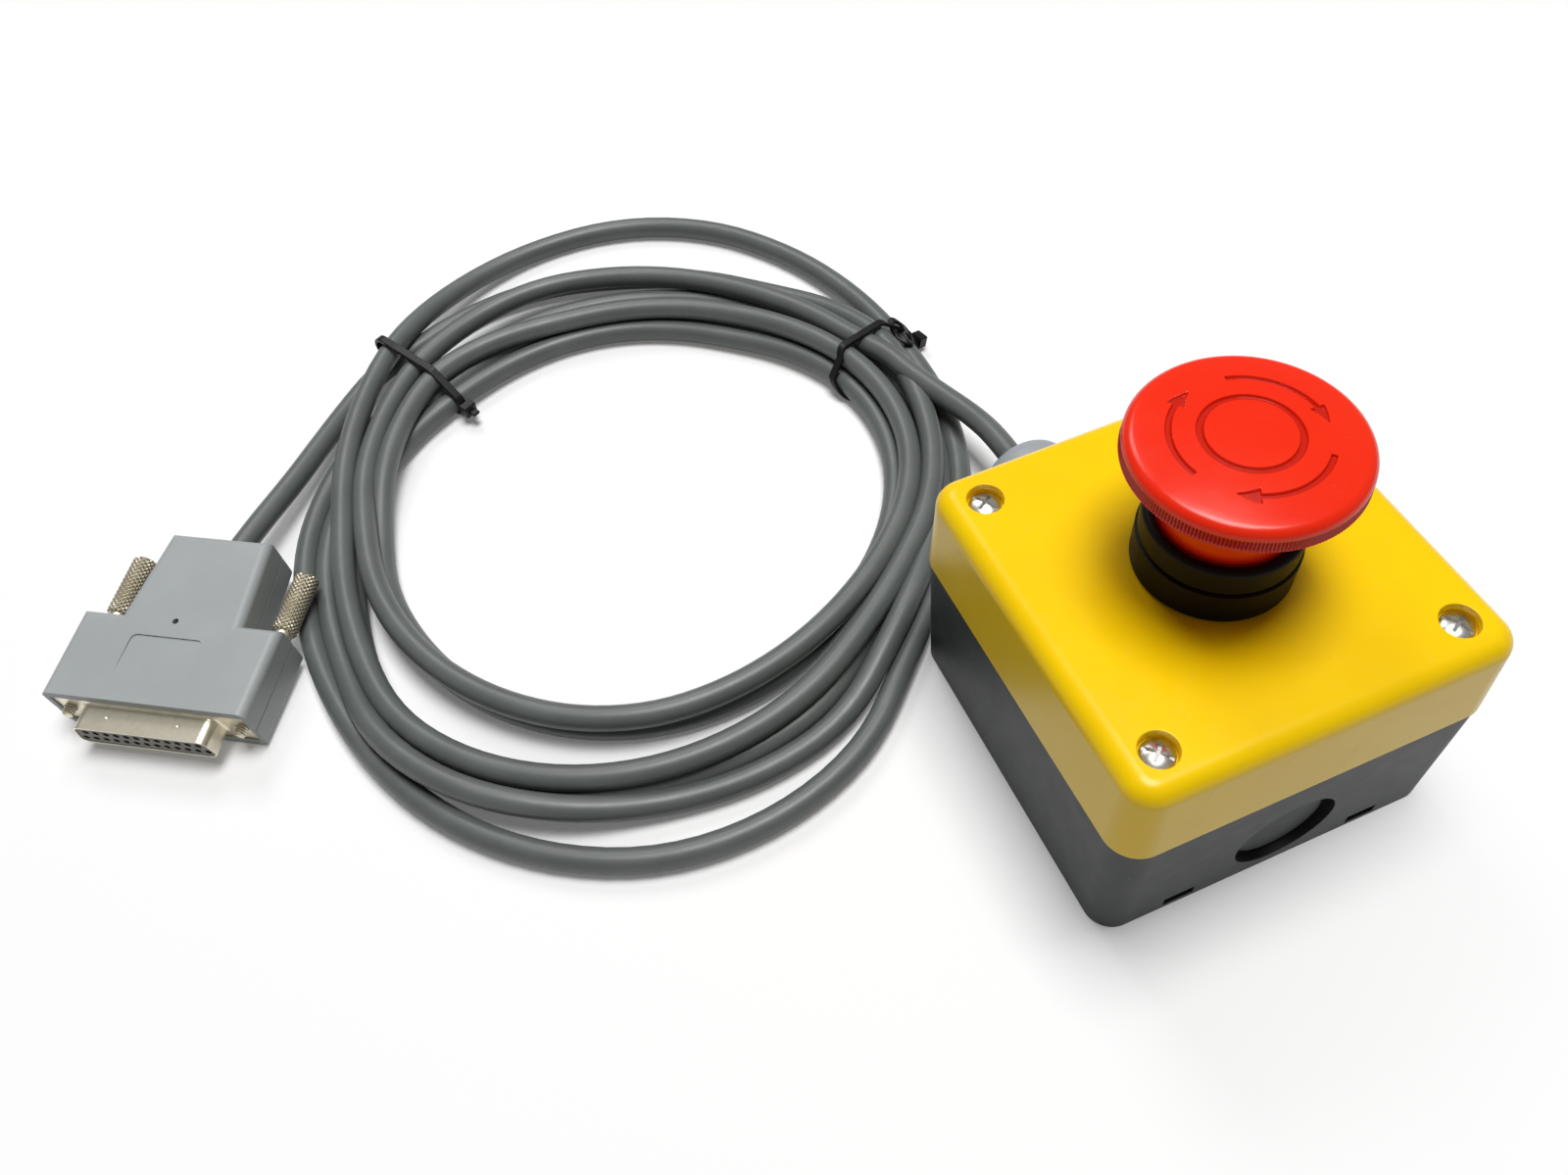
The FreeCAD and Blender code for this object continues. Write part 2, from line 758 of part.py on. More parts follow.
def contact_plunger(side):
    """Push rod of a contact block, with a window for its bridge and a pin for its spring."""
    stem = block(-rod_half, rod_half, -rod_half, rod_half, rod_low, plunger_end - 2 * fit)
    stem = stem.cut(block(-bridge_half_width - 2 * fit, bridge_half_width + 2 * fit, -rod_half - over,
                          rod_half + over, *rod_window))
    return stem.fuse(rod(rod_pin_radius, rod_pin_low, rod_low)).translated(Vector(side * block_reach, 0, 0))


def contact_bridge(side):
    """Moving contact: a bar that joins the two fixed strips from below, with a raised pad at each end."""
    top = strip_height - bridge_gap
    bar_top = top - bridge_pad_height
    bar = block(-bridge_half_width, bridge_half_width, -bridge_half_length, bridge_half_length,
                bar_top - bridge_thickness, bar_top)
    pads = [rod(bridge_pad_radius, bar_top, top, 0, y) for y in (-bridge_pad_reach, bridge_pad_reach)]
    return bar.fuse(pads).translated(Vector(side * block_reach, 0, 0))


def contact_spring(side):
    """Return spring under a contact block's push rod."""
    coil = spring(contact_spring_radius, contact_spring_wire, channel_floor, rod_low, contact_spring_turns)
    return coil.translated(Vector(side * block_reach, 0, 0))


# Cable gland, made upright and laid along the axis of the rear entry

def on_entry(shape):
    """Places a piece made upright on the axis of the rear cable entry."""
    return facing_y(shape).translated(Vector(0, 0, entry_height))


def gland_body():
    """Hexagon flange with a threaded neck each way."""
    shoulder = gland_face + gland_flange
    neck_end = shoulder + gland_neck_length
    body = hexagon(gland_flats, gland_face, shoulder)
    body = body.fuse([rod(gland_thread_radius, gland_thread_end, gland_face),
                      rod(gland_neck_radius, shoulder, neck_end)])
    return body.cut(rod(gland_bore, gland_thread_end - over, neck_end + over))


def gland_locknut():
    """Hexagon nut inside the base that holds the gland."""
    high = gland_face - base_wall
    nut = hexagon(locknut_flats, high - locknut_height, high)
    return nut.cut(rod(gland_thread_radius + fit, gland_thread_end, gland_face))


def gland_dome_nut():
    """Clamping nut: a short hexagon that runs into a smooth dome with the cable's mouth."""
    low = gland_face + gland_flange + 4 * fit
    mouth = cable_radius + 3 * fit
    dome_low = gland_end - dome_round
    lean = dome_round * math.sqrt(0.5)
    middle = (dome_nut_radius - dome_round + lean, dome_low + lean)
    bore_end = gland_face + gland_flange + gland_neck_length + 2 * fit
    dome = turned((dome_nut_bore, low), (dome_nut_radius, low), (dome_nut_radius, dome_low),
                  (middle, (dome_nut_radius - dome_round, gland_end)), (mouth, gland_end),
                  (mouth, gland_end - 2 * edge_break),
                  (gland_seal_radius + fit, bore_end + gland_seal_length),
                  (gland_seal_radius + fit, bore_end), (dome_nut_bore, bore_end))
    flats_end = low + dome_nut_flat_length
    flats = hexagon(dome_nut_flats, low - over, flats_end)
    return dome.common(flats.fuse(rod(locknut_flats, flats_end, gland_end + over)))


def gland_seal():
    """Rubber sleeve squeezed round the cable inside the dome nut."""
    low = gland_face + gland_flange + gland_neck_length + 2 * fit
    return tube_ring(gland_seal_radius, cable_radius + fit, low, low + gland_seal_length)


# Coil of cable

def turn_outline(turn, grow):
    """Elliptic outline of one turn of the coil, larger or smaller by a margin."""
    centre, half_long, half_short, degrees = turn
    ellipse = Part.Wire(Part.Ellipse(Vector(), half_long + grow, half_short + grow).toShape())
    return about_z(ellipse, degrees).translated(centre)


def turn_reach(turn, grow, angle):
    """Distance from the coil's hub to an elliptic outline in one direction."""
    centre, half_long, half_short, degrees = turn
    scale = Vector(1 / (half_long + grow), 1 / (half_short + grow), 0)
    into_axes = Rotation(Vector(0, 0, 1), -degrees)
    offset = into_axes.multVec(coil_hub - centre)
    heading = Rotation(Vector(0, 0, 1), angle - degrees).multVec(Vector(1, 0, 0))
    start = Vector(offset.x * scale.x, offset.y * scale.y, 0)
    step = Vector(heading.x * scale.x, heading.y * scale.y, 0)
    a, b, c = step.dot(step), start.dot(step), start.dot(start) - 1
    return (math.sqrt(b * b - a * c) - b) / a


def tie_section(angle, margin):
    """Outline of the bundle at a tie, in the plane of the radius: two layers inside and one at the rim."""
    inside = turn_reach(inner_turn, -cable_radius, angle) + tie_thickness - margin
    outside = turn_reach(outer_turn, cable_radius, angle) - tie_thickness + margin
    step = turn_reach(outer_turn, cable_radius - single_layer_rim, angle) + margin
    low = tie_thickness - margin
    high = 2 * layer - tie_thickness + margin
    return outline([Vector(inside, 0, low), Vector(outside, 0, low), Vector(outside, 0, layer),
                    Vector(step, 0, high), Vector(inside, 0, high)])


def cable_tie(angle, head_on_top):
    """Flat strap round the bundle, with its square head on top or at the inside of the coil."""
    across = Vector(0, tie_width, 0)
    outer = Part.Face(tie_section(angle, tie_thickness)).extrude(across)
    inner = Part.Face(tie_section(angle, 0)).extrude(across)
    strap = outer.cut(inner)
    sides = (-tie_head_margin, tie_width + tie_head_margin)
    if head_on_top:
        x = turn_reach(outer_turn, cable_radius - single_layer_rim, angle) - tie_head_inset
        head = block(x, x + tie_head_length, *sides, 2 * layer, 2 * layer + tie_head_height)
    else:
        x = turn_reach(inner_turn, -cable_radius, angle)
        low = layer - tie_head_length / 2
        head = block(x - tie_head_height, x, *sides, low, low + tie_head_length)
    strap = strap.fuse(head).translated(Vector(0, -tie_width / 2, 0))
    return about_z(strap, angle).translated(coil_hub)


def cable_coil():
    """Outer shape of the loose coil: a wide single layer with a second layer inside its rim."""
    single = prism(turn_outline(outer_turn, cable_radius), layer)
    double = prism(turn_outline(outer_turn, cable_radius - single_layer_rim), 2 * layer)
    hollow = prism(turn_outline(inner_turn, -cable_radius), 2 * layer)
    ring = single.fuse(double).removeSplitter().cut(hollow)
    ring = ring.cut(prism(square(box_width + 2 * box_gap, 0), base_height))
    return ring.cut([cable_tie(tie_left_angle, False), cable_tie(tie_right_angle, True)])


# Connector: made with its mating face on the XZ plane and the cable leaving along +Y

def along_plug(radius, front, back, x, z):
    """Cylinder along Y between two distances behind the mating face."""
    return facing_y(rod(radius, front, back)).translated(Vector(x, 0, z))


def hood_outline(shrink, front):
    """Plan outline of the hood: a wide mating end and a tapered neck, inset by a wall."""
    right = [(hood_half_width - shrink, front), (hood_half_width - shrink, hood_wide_length - shrink),
             (neck_half_foot - shrink, hood_wide_length - shrink),
             (neck_half_end - shrink, hood_length - shrink)]
    return outline([Vector(x, y, 0) for x, y in right] + [Vector(-x, y, 0) for x, y in reversed(right)])


def flange_block(margin, front, back):
    """Plate of the connector flange's outline, larger or smaller by a margin."""
    x, z = flange_width / 2 + margin, flange_height / 2 + margin
    return block(-x, x, front, back, hood_middle - z, hood_middle + z)


def hood_seam():
    """Fine groove round the sides and the back where the halves of the hood meet."""
    outside = prism(hood_outline(-over, -over), 2 * seam_half)
    inside = prism(hood_outline(seam_depth, -2 * over), 2 * seam_half)
    return outside.cut(inside).translated(Vector(0, 0, hood_middle - seam_half))


def hood_shell():
    """Hollow hood with its flange pocket, thumbscrew holes and cable hole, before it is split."""
    outer = prism(hood_outline(0, 0), hood_thickness)
    level = [edge for edge in outer.Edges
             if edge.BoundBox.ZLength < same_level and edge.BoundBox.YMax > same_level]
    outer = outer.makeFillet(hood_edge_radius, level)
    inner = prism(hood_outline(hood_wall, hood_front_wall), hood_thickness - 2 * hood_wall)
    inner = inner.translated(Vector(0, 0, hood_wall))
    pocket = flange_block(flange_gap, flange_recess, hood_front_wall + flange_gap)
    mouth = flange_block(-flange_lip, -over, over)
    jack_holes = [along_plug(jack_hole_radius, hood_front_wall, hood_wide_length + over, x, hood_middle)
                  for x in (-jack_reach, jack_reach)]
    cable_hole = along_plug(cable_radius + 2 * fit, clamp_back, hood_length + over, 0, hood_middle)
    return outer.cut([inner, pocket, mouth, cable_hole, hood_seam()] + jack_holes)


def label_field():
    """Label field to be let into the top of the hood: level in front and sunk towards its rear edge."""
    width, depth = label_size
    field = prism(rounded_rectangle(width, depth, label_corner, hood_thickness), over)
    slope = math.degrees(math.atan(label_depth / depth))
    field = field.rotated(Vector(0, -depth / 2, hood_thickness), Vector(1, 0, 0), -slope)
    return field.translated(Vector(*label_centre, 0))


def hood_half(upper):
    """One moulded half of the hood; the upper one has a sunk label field and a small gate hole."""
    low, high = (hood_middle, hood_thickness + over) if upper else (-over, hood_middle)
    wide, long = 2 * hood_half_width, 2 * hood_length
    half = hood_shell().common(block(-wide, wide, -over, long, low, high))
    if not upper:
        return half
    gate = rod(gate_radius, hood_thickness - gate_depth, hood_thickness + over, *gate_place)
    return half.cut([label_field(), gate])


def d_block(width, height, radius, front, back):
    """D-shaped prism along Y, wider below, with sloping sides and round corners."""
    low = width / 2
    high = low - height * math.tan(math.radians(shell_side_angle))
    points = [Vector(-low, -height / 2, 0), Vector(low, -height / 2, 0), Vector(high, height / 2, 0),
              Vector(-high, height / 2, 0)]
    solid = prism(outline(points), back - front)
    upright = [edge for edge in solid.Edges if edge.BoundBox.ZLength > same_level]
    solid = solid.makeFillet(radius, upright)
    return solid.rotated(Vector(), Vector(1, 0, 0), 90).translated(Vector(0, back, hood_middle))


def flange(front):
    """Flat sheet flange with its two jackscrew holes."""
    plate = flange_block(0, front, front + sheet)
    return plate.cut([along_plug(jack_hole_radius, front - over, front + over, x, hood_middle)
                      for x in (-jack_reach, jack_reach)])


def skirt_root(shell, front):
    """Edges along which the skirt meets the front of its flange."""
    return [edge for edge in shell.Edges
            if abs(edge.BoundBox.YMin - front) < same_level and edge.BoundBox.YLength < same_level
            and max(-edge.BoundBox.XMin, edge.BoundBox.XMax) < shell_width / 2 + same_level]


def socket_shell():
    """Front metal shell: flange and D-shaped skirt with a drawn root and two small dimples on top."""
    front = flange_recess
    skirt = d_block(shell_width, shell_height, shell_corner, front - shell_depth, front + sheet)
    shell = flange(front).fuse(skirt)
    shell = shell.makeFillet(shell_root_radius, skirt_root(shell, front))
    opening = d_block(shell_width - 2 * skin, shell_height - 2 * skin, shell_corner - skin,
                      front - shell_depth - over, front + over)
    height = hood_middle + shell_height / 2 + dimple_radius - dimple_depth
    dimples = [Part.makeSphere(dimple_radius, Vector(x, front - dimple_inset, height))
               for x in (-dimple_reach, dimple_reach)]
    return shell.cut([opening] + dimples)


def socket_rear_shell():
    """Rear metal shell: flange and a shallow D-shaped cup round the solder ends."""
    front = flange_recess + sheet + insulator_web
    width, height = shell_width + rear_cup_grow, shell_height + rear_cup_grow
    corner = shell_corner + skin
    cup = d_block(width, height, corner, front, front + rear_cup_depth)
    opening = d_block(width - 2 * skin, height - 2 * skin, corner - skin,
                      front - over, front + 2 * rear_cup_depth)
    return flange(front).fuse(cup).cut(opening)


def contact_places():
    """Places of the contacts across the mating face: thirteen below and twelve above."""
    for count, height in contact_rows:
        for k in range(count):
            yield (k - (count - 1) / 2) * contact_pitch, hood_middle + height


def socket_insulator():
    """Moulded insulator with a hole for each contact and a flange between the two shells."""
    front = flange_recess
    web_front = front + sheet
    web_back = web_front + insulator_web
    inset = 2 * (skin + fit)
    wide, high = insulator_grow
    rear_grow = rear_cup_grow - inset - 2 * fit
    body = d_block(shell_width - inset, shell_height - inset, shell_corner - skin,
                   front - shell_depth + 4 * fit, web_front)
    body = body.fuse([d_block(shell_width + wide, shell_height + high, shell_corner, web_front, web_back),
                      d_block(shell_width + rear_grow, shell_height + rear_grow, shell_corner, web_back,
                              front + insulator_rear)])
    return body.cut([along_plug(contact_radius + fit, front - shell_depth - over, front + contact_rear, x, z)
                     for x, z in contact_places()])


def socket_contacts():
    """Socket contacts with their solder ends."""
    front = flange_recess - shell_depth + contact_inset
    return Part.makeCompound([along_plug(contact_radius, front, flange_recess + contact_rear, x, z)
                              for x, z in contact_places()])


def thumbscrew(side):
    """Captive jackscrew: slotted knurled head, neck and a shaft that comes through the flange."""
    neck = hood_wide_length + 6 * fit
    knob = neck + knob_neck_length
    screw = turned((0, jack_tip), (jack_radius - edge_break, jack_tip), (jack_radius, jack_tip + edge_break),
                   (jack_radius, neck), (knob_neck_radius, neck), (knob_neck_radius, knob),
                   (knob_radius - edge_break, knob), (knob_radius, knob + edge_break),
                   (knob_radius, knob_end - edge_break), (knob_radius - edge_break, knob_end), (0, knob_end))
    slot = block(-knob_radius - over, knob_radius + over, -knob_slot / 2, knob_slot / 2,
                 knob_end - knob_slot_depth, knob_end + over)
    return facing_y(screw.cut(slot)).translated(Vector(side * jack_reach, 0, hood_middle))


def cable_clamp():
    """Clamping strap over the cable just inside the neck of the hood, with a foot at each side."""
    half = clamp_wall / 2
    strap = along_plug(cable_radius + clamp_wall, clamp_front, clamp_back, 0, hood_middle)
    foot = block(-clamp_foot_half, clamp_foot_half, clamp_front, clamp_back,
                 hood_middle - half, hood_middle + half)
    middle = (clamp_front + clamp_back) / 2
    holes = [rod(clamp_screw_radius + 2 * fit, 0, hood_thickness, x, middle)
             for x in (-clamp_screw_reach, clamp_screw_reach)]
    cable = along_plug(cable_radius, clamp_front - over, clamp_back + over, 0, hood_middle)
    return strap.fuse(foot).cut([cable] + holes)


def clamp_screw(side):
    """Small screw that holds the clamping strap down to the lower half of the hood."""
    seat = hood_middle + clamp_wall / 2
    top = seat + clamp_screw_head_height
    screw = turned((0, hood_wall + fit), (clamp_screw_radius, hood_wall + fit), (clamp_screw_radius, seat),
                   (clamp_screw_head, seat), (clamp_screw_head, top - edge_break),
                   (clamp_screw_head - edge_break, top), (0, top))
    return screw.translated(Vector(side * clamp_screw_reach, (clamp_front + clamp_back) / 2, 0))


def on_plug(shape):
    """Lays a connector piece where the plug lies: leaning back on the coil and turned on the floor."""
    leaned = shape.rotated(Vector(), Vector(1, 0, 0), plug_lean)
    return about_z(leaned, plug_turn).translated(plug_origin)


def plug_point(x, y, z):
    """Place of a point of the connector in the frame of the whole part."""
    lean = Rotation(Vector(1, 0, 0), plug_lean)
    turn = Rotation(Vector(0, 0, 1), plug_turn)
    return turn.multVec(lean.multVec(Vector(x, y, z))) + plug_origin


# Free cable: hand-chosen routes from the gland to the coil and from the coil to the plug
lead_box_route = [Vector(0, gland_end, entry_height), Vector(0, 85, entry_height), Vector(-0.6, 97, 13.4),
                  Vector(-3.4, 109.4, 11.8), Vector(-7.3, 122.8, 10.6), Vector(-10.2, 132.0, 10.2)]
plug_inlet = plug_point(0, (clamp_front + clamp_back) / 2, hood_middle)
plug_mouth = plug_point(0, hood_length + cable_mouth_run, hood_middle)
lead_plug_route = [Vector(-163.1, 189.5, 4.4), Vector(-174.9, 174.8, 6.6), Vector(-184.5, 163.7, 8.6),
                   plug_mouth, plug_inlet]


def build():
    """Makes every piece in its place."""
    pieces["base_housing"] = base_housing()
    pieces["cover"] = cover()
    pieces["cover_gasket"] = gasket_ring()
    pieces["operator_body"] = operator_body()
    pieces["panel_seal"] = panel_seal()
    pieces["panel_nut"] = panel_nut()
    pieces["latch_clip"] = latch_clip()
    pieces["return_spring"] = spring(head_spring_radius, head_spring_wire, collar_floor, head_hollow_top,
                                     head_spring_turns)
    pieces["plunger"] = plunger()
    pieces["head_clip"] = head_clip()
    pieces["mushroom_head"] = mushroom_head()
    pieces["contact_carrier"] = contact_carrier()
    for hand, side in (("left", -1), ("right", 1)):
        pieces["contact_block_" + hand] = contact_block(side)
        pieces["contact_plunger_" + hand] = contact_plunger(side)
        pieces["contact_bridge_" + hand] = contact_bridge(side)
        pieces["contact_spring_" + hand] = contact_spring(side)
        pieces["thumbscrew_" + hand] = on_plug(thumbscrew(side))
        pieces["clamp_screw_" + hand] = on_plug(clamp_screw(side))
        for place, end in (("front", -1), ("rear", 1)):
            corner = place + "_" + hand
            pieces["cover_screw_" + corner] = cover_screw(side * screw_reach, end * screw_reach,
                                                          screw_turns[corner])
            pieces["fixed_contact_" + corner] = fixed_contact(side, end)
            pieces["terminal_screw_" + corner] = terminal_screw(side, end)
    pieces["gland_body"] = on_entry(gland_body())
    pieces["gland_locknut"] = on_entry(gland_locknut())
    pieces["gland_dome_nut"] = on_entry(gland_dome_nut())
    pieces["gland_seal"] = on_entry(gland_seal())
    pieces["cable_tail"] = on_entry(rod(cable_radius, cable_strip_end, gland_end))
    pieces["cable_lead_box"] = flexible(lead_box_route, cable_radius)
    pieces["cable_coil"] = cable_coil()
    pieces["cable_lead_plug"] = flexible(lead_plug_route, cable_radius)
    pieces["cable_tie_left"] = cable_tie(tie_left_angle, False)
    pieces["cable_tie_right"] = cable_tie(tie_right_angle, True)
    pieces["hood_upper"] = on_plug(hood_half(True))
    pieces["hood_lower"] = on_plug(hood_half(False))
    pieces["socket_shell"] = on_plug(socket_shell())
    pieces["socket_rear_shell"] = on_plug(socket_rear_shell())
    pieces["socket_insulator"] = on_plug(socket_insulator())
    pieces["socket_contacts"] = on_plug(socket_contacts())
    pieces["cable_clamp"] = on_plug(cable_clamp())


os.makedirs("parts", exist_ok=True)
build()
for name, shape in pieces.items():
    shape.exportStep("parts/" + name + ".step")
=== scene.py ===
import json
import logging
import math
from collections.abc import Mapping, Sequence
from dataclasses import dataclass, field
from enum import Enum

import bmesh
import bpy
import numpy as np
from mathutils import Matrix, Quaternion, Vector


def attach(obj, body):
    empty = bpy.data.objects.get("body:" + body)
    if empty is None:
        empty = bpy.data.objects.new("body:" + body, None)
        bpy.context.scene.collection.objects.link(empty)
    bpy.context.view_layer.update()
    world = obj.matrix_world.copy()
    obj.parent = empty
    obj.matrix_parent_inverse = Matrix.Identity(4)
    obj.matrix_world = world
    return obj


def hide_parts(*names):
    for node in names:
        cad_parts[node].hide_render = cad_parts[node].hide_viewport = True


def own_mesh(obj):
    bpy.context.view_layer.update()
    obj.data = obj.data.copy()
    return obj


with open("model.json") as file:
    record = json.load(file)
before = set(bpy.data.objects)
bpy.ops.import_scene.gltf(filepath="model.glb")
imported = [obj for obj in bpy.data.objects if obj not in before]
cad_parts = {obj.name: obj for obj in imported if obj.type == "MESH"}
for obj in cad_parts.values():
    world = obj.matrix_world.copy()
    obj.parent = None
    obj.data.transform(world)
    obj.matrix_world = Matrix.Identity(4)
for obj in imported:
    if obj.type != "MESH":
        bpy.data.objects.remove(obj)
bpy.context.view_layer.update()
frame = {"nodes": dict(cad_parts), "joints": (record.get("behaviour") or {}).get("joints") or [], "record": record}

# Emergency stop station: looks of the enclosure, the push button, the cable and the connector.
# Shapes are worked out in millimetres in the frame of the part and written to meshes in metres.

log = logging.getLogger("station")

MM = 0.001
MERGE_DISTANCE = 0.001 * MM
# Name of the point attribute that holds each point's share of painted shade.
GROOVE = "groove"
Colour = tuple[float, float, float, float]
WHITE: Colour = (1.0, 1.0, 1.0, 1.0)


def paint(red: int, green: int, blue: int) -> Colour:
    """Turns a screen colour into the linear colour that shaders take.

    Args:
        red: red level from 0 to 255.
        green: green level from 0 to 255.
        blue: blue level from 0 to 255.

    Returns:
        The linear colour, opaque.
    """
    levels = np.array([red, green, blue]) / 255
    linear = np.where(levels <= 0.04045, levels / 12.92, ((levels + 0.055) / 1.055) ** 2.4)
    return (*linear.tolist(), 1.0)


# Shader expressions

class Wire:
    """Output of a shader node, on which arithmetic adds Math nodes."""

    def __init__(self, graph: "Graph", socket: bpy.types.NodeSocket) -> None:
        """Keeps the socket and the graph that it is part of."""
        self.graph = graph
        self.socket = socket

    def _math(self, operation: str, first: "Wire | float", second: "Wire | float" = 0.0) -> "Wire":
        """Adds one Math node on two values."""
        return self.graph.node("ShaderNodeMath", {"operation": operation}, {0: first, 1: second})

    def __add__(self, other: "Wire | float") -> "Wire":
        """Sum."""
        return self._math("ADD", self, other)

    def __radd__(self, other: float) -> "Wire":
        """Sum with a number in front."""
        return self._math("ADD", other, self)

    def __sub__(self, other: "Wire | float") -> "Wire":
        """Difference."""
        return self._math("SUBTRACT", self, other)

    def __rsub__(self, other: float) -> "Wire":
        """Difference from a number in front."""
        return self._math("SUBTRACT", other, self)

    def __mul__(self, other: "Wire | float") -> "Wire":
        """Product."""
        return self._math("MULTIPLY", self, other)

    def __rmul__(self, other: float) -> "Wire":
        """Product with a number in front."""
        return self._math("MULTIPLY", other, self)

    def at_most(self, other: "Wire | float") -> "Wire":
        """The smaller of two values."""
        return self._math("MINIMUM", self, other)

    def magnitude(self) -> "Wire":
        """The value without its sign."""
        return self._math("ABSOLUTE", self)

    def root(self) -> "Wire":
        """Square root."""
        return self._math("SQRT", self)

    def ramp(self, low: float, high: float) -> "Wire":
        """Rises from 0 at one value to 1 at another, smoothly.

        Args:
            low: value that gives 0.
            high: value that gives 1.

        Returns:
            The ramped value.
        """
        inputs = {"Value": self, "From Min": low, "From Max": high}
        return self.graph.node("ShaderNodeMapRange", {"interpolation_type": "SMOOTHSTEP"}, inputs)


class Graph:
    """Node tree of one finish."""

    # Sockets of a Mix node for colours, by number because those for other kinds have the same names.
    MIX_SHARE, MIX_FIRST, MIX_SECOND, MIX_RESULT = 0, 6, 7, 2

    def __init__(self, tree: bpy.types.NodeTree) -> None:
        """Takes over an empty node tree."""
        self.tree = tree
        tree.nodes.clear()

    def node(self, kind: str, settings: Mapping[str, str] | None = None,
             inputs: Mapping[str | int, "Wire | float | Sequence[float]"] | None = None,
             output: str | int = 0) -> Wire:
        """Adds a node of any kind.

        Args:
            kind: the node's type.
            settings: its own settings, which are set first.
            inputs: numbers, colours or wires for its sockets.
            output: the output socket to go on from.

        Returns:
            The wire from that output.
        """
        made = self.tree.nodes.new(kind)
        for name, value in (settings or {}).items():
            setattr(made, name, value)
        for name, value in (inputs or {}).items():
            if isinstance(value, Wire):
                self.tree.links.new(value.socket, made.inputs[name])
            else:
                made.inputs[name].default_value = value
        return Wire(self, made.outputs[output])

    def place(self, stretch: Sequence[float] = (1, 1, 1), turn: Sequence[float] = (0, 0, 0)) -> Wire:
        """Place on the piece, stretched and turned.

        Args:
            stretch: factor along each axis.
            turn: angles about the axes.

        Returns:
            The vector in metres.
        """
        here = self.node("ShaderNodeTexCoord", output="Object")
        return self.node("ShaderNodeMapping", inputs={"Vector": here, "Scale": stretch, "Rotation": turn})

    def millimetres(self) -> tuple[Wire, Wire, Wire]:
        """The three coordinates on the piece in millimetres.

        Returns:
            Wires of x, y and z.
        """
        place = self.place((1 / MM, 1 / MM, 1 / MM))
        x, y, z = (self.node("ShaderNodeSeparateXYZ", inputs={0: place}, output=axis) for axis in range(3))
        return x, y, z

    def groove(self) -> Wire:
        """Share of painted shade in a cut pattern, which pieces with such a pattern store at their points."""
        return self.node("ShaderNodeAttribute", {"attribute_name": GROOVE}, output="Fac")

    def noise(self, size: float, detail: float = 2.0, place: Wire | None = None) -> Wire:
        """Cloudy value from 0 to 1.

        Args:
            size: width of a cloud in metres.
            detail: how many finer layers it has.
            place: the place to read, or none for the plain one.

        Returns:
            The value.
        """
        inputs = {"Vector": place or self.place(), "Scale": 1 / size, "Detail": detail}
        return self.node("ShaderNodeTexNoise", inputs=inputs)

    def mix(self, share: Wire, first: Wire | Colour, second: Wire | Colour) -> Wire:
        """Colour between two colours.

        Args:
            share: 0 for the first, 1 for the second.
            first: one colour.
            second: the other colour.

        Returns:
            The mixed colour.
        """
        inputs = {self.MIX_SHARE: share, self.MIX_FIRST: first, self.MIX_SECOND: second}
        return self.node("ShaderNodeMix", {"data_type": "RGBA"}, inputs, output=self.MIX_RESULT)

    def bump(self, height: Wire, rise: float) -> Wire:
        """Surface direction of a relief.

        Args:
            height: the relief from 0 to 1.
            rise: its height in metres.

        Returns:
            The normal.
        """
        return self.node("ShaderNodeBump", inputs={"Height": height, "Distance": rise})

    def end(self, shader: Wire, kind: str = "ShaderNodeOutputMaterial") -> None:
        """Ends the tree in its output.

        Args:
            shader: what the output shows.
            kind: the output node's type.
        """
        output = self.tree.nodes.new(kind)
        self.tree.links.new(shader.socket, output.inputs["Surface"])


# Finishes

class Finish:
    """Look of a surface, of which a material is made."""

    def shader(self, graph: Graph) -> Wire:
        """Adds the finish's nodes.

        Args:
            graph: the new material's graph.

        Returns:
            The shader.
        """
        raise NotImplementedError

    def material(self, name: str) -> bpy.types.Material:
        """Builds the material.

        Args:
            name: its name.

        Returns:
            The material.
        """
        material = bpy.data.materials.new(name)
        material.use_nodes = True
        graph = Graph(material.node_tree)
        graph.end(self.shader(graph))
        return material


